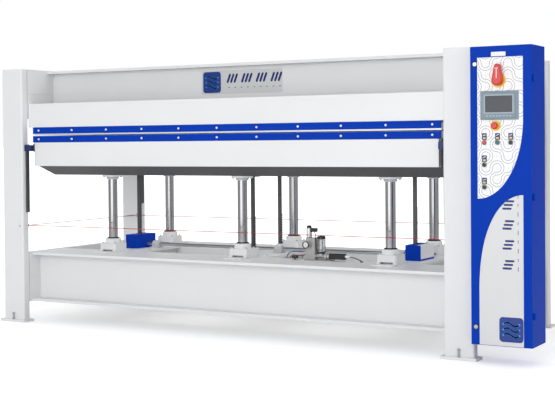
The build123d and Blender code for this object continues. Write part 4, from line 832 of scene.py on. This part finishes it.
# Printed marks on the door film: a plain geometric frieze in navy, a thin tick scale beside it and
# a blue tile with light wave lines, all of thin ink that stands just proud, and a blank label on top.
navy_ink = surface("navy_ink", (0.004, 0.012, 0.16), 0.35, coat=0.2)
tile_blue = surface("tile_blue", (0.002, 0.03, 0.24), 0.35, coat=0.2, edge=(0.002, 0.4, (0.01, 0.06, 0.4)))
wave_blue = surface("wave_blue", (0.03, 0.32, 0.85), 0.35, coat=0.2)
film_y, ink = -0.828, 0.0004
frieze_x, frieze_low, frieze_step, frieze_rows = 2.117, 0.545, 0.118, 4
bar_step, bar_shift, bar_width = 0.022, 0.008, 0.0125
tick_x, tick_step, tick_width = 2.178, 0.054, 0.0035
frieze = bmesh.new()
for i in range(frieze_rows):
    z = frieze_low + frieze_step * (i + 0.5)
    for bar in range(3):
        level, shift = bar_step * bar - 0.026, bar_shift * bar
        outline = stroke((shift - 0.030, level), (shift + 0.016, level), bar_width)
        plate(frieze, outline, (frieze_x, film_y, z), ink)
for i in range(9):
    reach = 0.008 if i % 2 else 0.012
    z = frieze_low + 0.03 + i * tick_step
    plate(frieze, stroke((0.0, -reach), (0.0, reach), tick_width), (tick_x, film_y, z), ink)
piece("door_frieze", frieze, navy_ink, "door", smooth=False)


def wave_tile(name, at, size, body):
    """Blue rounded tile with three light wave lines, as a plain ornament."""
    tile_thickness = 0.0005
    back = bmesh.new()
    plate(back, rounded(size, size, size * 0.14), at, tile_thickness)
    piece(name + "_back", back, tile_blue, body, smooth=False)
    front = (at[0], at[1] - tile_thickness, at[2])
    waves = bmesh.new()
    for level in (-0.22, 0.0, 0.22):
        points = []
        for i in range(13):
            rise = level + 0.07 * math.sin(math.tau * i / 12)
            points.append((size * (-0.34 + 0.68 * i / 12), size * rise))
        for one, two in zip(points, points[1:]):
            plate(waves, stroke(one, two, size * 0.075), front, ink)
    piece(name + "_waves", waves, wave_blue, body, smooth=False)


wave_tile("door_tile", (2.134, film_y, 0.215), 0.148, "door")
label_white = surface("label_white", (0.82, 0.82, 0.82), 0.45, edge=(0.001, 0.3, (0.9, 0.9, 0.9)))
labels = bmesh.new()
plate(labels, rounded(0.090, 0.026, 0.003), (2.060, -0.826, 1.847), 0.001)
piece("door_label", labels, label_white, "door", smooth=False)

# Operator panel: moulded blue-grey frame and bezel let into the door, with dark glass inside a
# raised border and a row of keys below it.
panel_plastic = surface("panel_plastic", (0.20, 0.27, 0.32), 0.42, edge=(0.002, 0.6, (0.42, 0.5, 0.55)))
dress(panel_plastic, "operator_panel")
screen_glass = surface("screen_glass", (0.012, 0.018, 0.032), 0.1, coat=0.3, specular=0.3,
                       cloud=(3.0, 0.5, 0.05))
dress(screen_glass, "panel_screen")
panel_trim = surface("panel_trim", (0.36, 0.43, 0.48), 0.4, edge=(0.001, 0.3, (0.6, 0.66, 0.7)))
screen_x, screen_z, panel_face = 2.065, 1.551, -0.837
border_height = 0.0012
outer, inner = rounded(0.184, 0.112, 0.004), rounded(0.1685, 0.0985, 0.002)
border_levels = [(outer, 0.0), (outer, border_height), (inner, border_height), (inner, 0.0), (outer, 0.0)]
screen_border = bmesh.new()
sweep_rings(screen_border, [[machine(screen_x + u, panel_face - height, screen_z + v) for u, v in outline]
                            for outline, height in border_levels], close_ends=False)
piece("screen_border", screen_border, panel_trim, "door", smooth=False)
key_count, key_pitch, key_z = 8, 0.0205, 1.4805
keys = bmesh.new()
for i in range(key_count):
    x = screen_x + (i - (key_count - 1) / 2) * key_pitch
    plate(keys, rounded(0.013, 0.008, 0.002), (x, panel_face, key_z), 0.0012)
piece("panel_keys", keys, panel_trim, "door", smooth=False)

# Push buttons and their legend plates: moulded buttons in black collars with a bright ring, and
# navy plates with white and yellow marks over each.
dress(black_plastic, "button_collars", "upper_black_button", "middle_black_button", "lower_black_button",
      "estop_stem")
red_plastic = surface("red_plastic", (0.58, 0.012, 0.01), 0.3, coat=0.25,
                      edge=(0.0015, 0.4, (0.8, 0.12, 0.08)))
dress(red_plastic, "red_button", "estop_head", "main_switch_handle")
green_plastic = surface("green_plastic", (0.0, 0.12, 0.12), 0.3, coat=0.25,
                        edge=(0.0015, 0.4, (0.05, 0.3, 0.3)))
dress(green_plastic, "green_button")
yellow_plastic = surface("yellow_plastic", (0.85, 0.55, 0.015), 0.38, coat=0.2,
                         edge=(0.001, 0.2, (1, 0.85, 0.3)))
dress(yellow_plastic, "yellow_collars")
mark_white = surface("mark_white", (0.85, 0.85, 0.85), 0.4)
mark_yellow = surface("mark_yellow", (0.85, 0.62, 0.04), 0.4)
button_spots = [(1.972, 1.323), (2.054, 1.323), (2.136, 1.323), (1.972, 1.191), (1.972, 1.058)]
legend_up, legend_size, legend_thickness, legend_ink = 0.036, (0.030, 0.040), 0.0012, 0.0003
legends, white_marks, yellow_marks = bmesh.new(), bmesh.new(), bmesh.new()
for i, (x, z) in enumerate(button_spots):
    spot = (x, film_y, z + legend_up)
    front = (x, film_y - legend_thickness, z + legend_up)
    white_rise = 0.013 if i % 2 else 0.010
    plate(legends, rounded(*legend_size, 0.003), spot, legend_thickness)
    plate(white_marks, stroke((-0.007, 0.006), (0.007, white_rise), 0.004), front, legend_ink)
    plate(yellow_marks, rounded(0.016, 0.010, 0.001, (0, -0.009)), front, legend_ink)
piece("legend_plates", legends, navy_ink, "door", smooth=False)
piece("legend_white", white_marks, mark_white, "door", smooth=False)
piece("legend_yellow", yellow_marks, mark_yellow, "door", smooth=False)
collar_trim = surface("collar_trim", (0.45, 0.46, 0.47), 0.25, metallic=0.9)
trim_bore, trim_r = 0.0120, 0.0138
TRIM = [(trim_bore, 0.0), (trim_r, 0.0), (trim_r, 0.0009), (trim_bore, 0.0012), (trim_bore, 0.0)]
collar_height = 0.005
trims = bmesh.new()
for x, z in button_spots:
    lathe(trims, TRIM, (x, film_y - collar_height, z), (0, -1, 0), 32)
piece("button_trims", trims, collar_trim, "door")

# Main switch and locks: a white pointer printed on the red handle, and a moulded shroud round each
# plated lock head.
pointer_spot, pointer_end, pointer_width = (2.062, -0.868, 1.692), 0.070, 0.0045
pointer = bmesh.new()
plate(pointer, stroke((0.0, 0.012), (0.0, pointer_end), pointer_width), pointer_spot, 0.0005)
plate(pointer, stroke((-0.008, pointer_end), (0.008, pointer_end), pointer_width), pointer_spot, 0.0005)
piece("switch_pointer", pointer, mark_white, "main_switch", smooth=False)
dress(zinc, "upper_lock", "lower_lock")
lock_spots = {"upper_lock": (1.914, 1.791), "lower_lock": (1.914, 0.220)}
door_face = -0.8262
shroud_bore, shroud_r = 0.0122, 0.0160
SHROUD = [(shroud_bore, 0.0), (shroud_r, 0.0), (shroud_r, 0.0030), (0.0145, 0.0045), (shroud_bore, 0.0045),
          (shroud_bore, 0.0)]
for name, (x, z) in lock_spots.items():
    shroud = bmesh.new()
    lathe(shroud, SHROUD, (x, door_face, z), (0, -1, 0), 32)
    piece(name + "_shroud", shroud, black_plastic, "door")

# Plate on the upper beam: a thin grey sheet fixed to the web, printed with a wave tile and rows of
# plain navy bars.
plate_grey = surface("plate_grey", (0.6, 0.605, 0.61), 0.4, edge=(0.002, 0.4, (0.75, 0.75, 0.75)))
sign_x, sign_y, sign_z, sign_size, sign_gauge = 0.023, -0.411, 1.767, (0.666, 0.164), 0.0015
sign_face = sign_y - sign_gauge
sign_sheet = bmesh.new()
plate(sign_sheet, rounded(*sign_size, 0.006), (sign_x, sign_y, sign_z), sign_gauge)
piece("sign_plate", sign_sheet, plate_grey, "frame", smooth=False)
wave_tile("sign_tile", (-0.222, sign_face, sign_z), 0.150, "frame")
bars = bmesh.new()
for i in range(4):
    for bar in range(3):
        x = -0.080 + i * 0.120 + bar * 0.029
        plate(bars, stroke((x - 0.010, 0.000), (x + 0.010, 0.050), 0.017), (0, sign_face, sign_z), ink)
for i in range(9):
    x = i * 0.052
    plate(bars, stroke((x - 0.085, -0.040), (x - 0.072, -0.040), 0.004), (0, sign_face, sign_z), ink)
piece("sign_bars", bars, navy_ink, "frame", smooth=False)
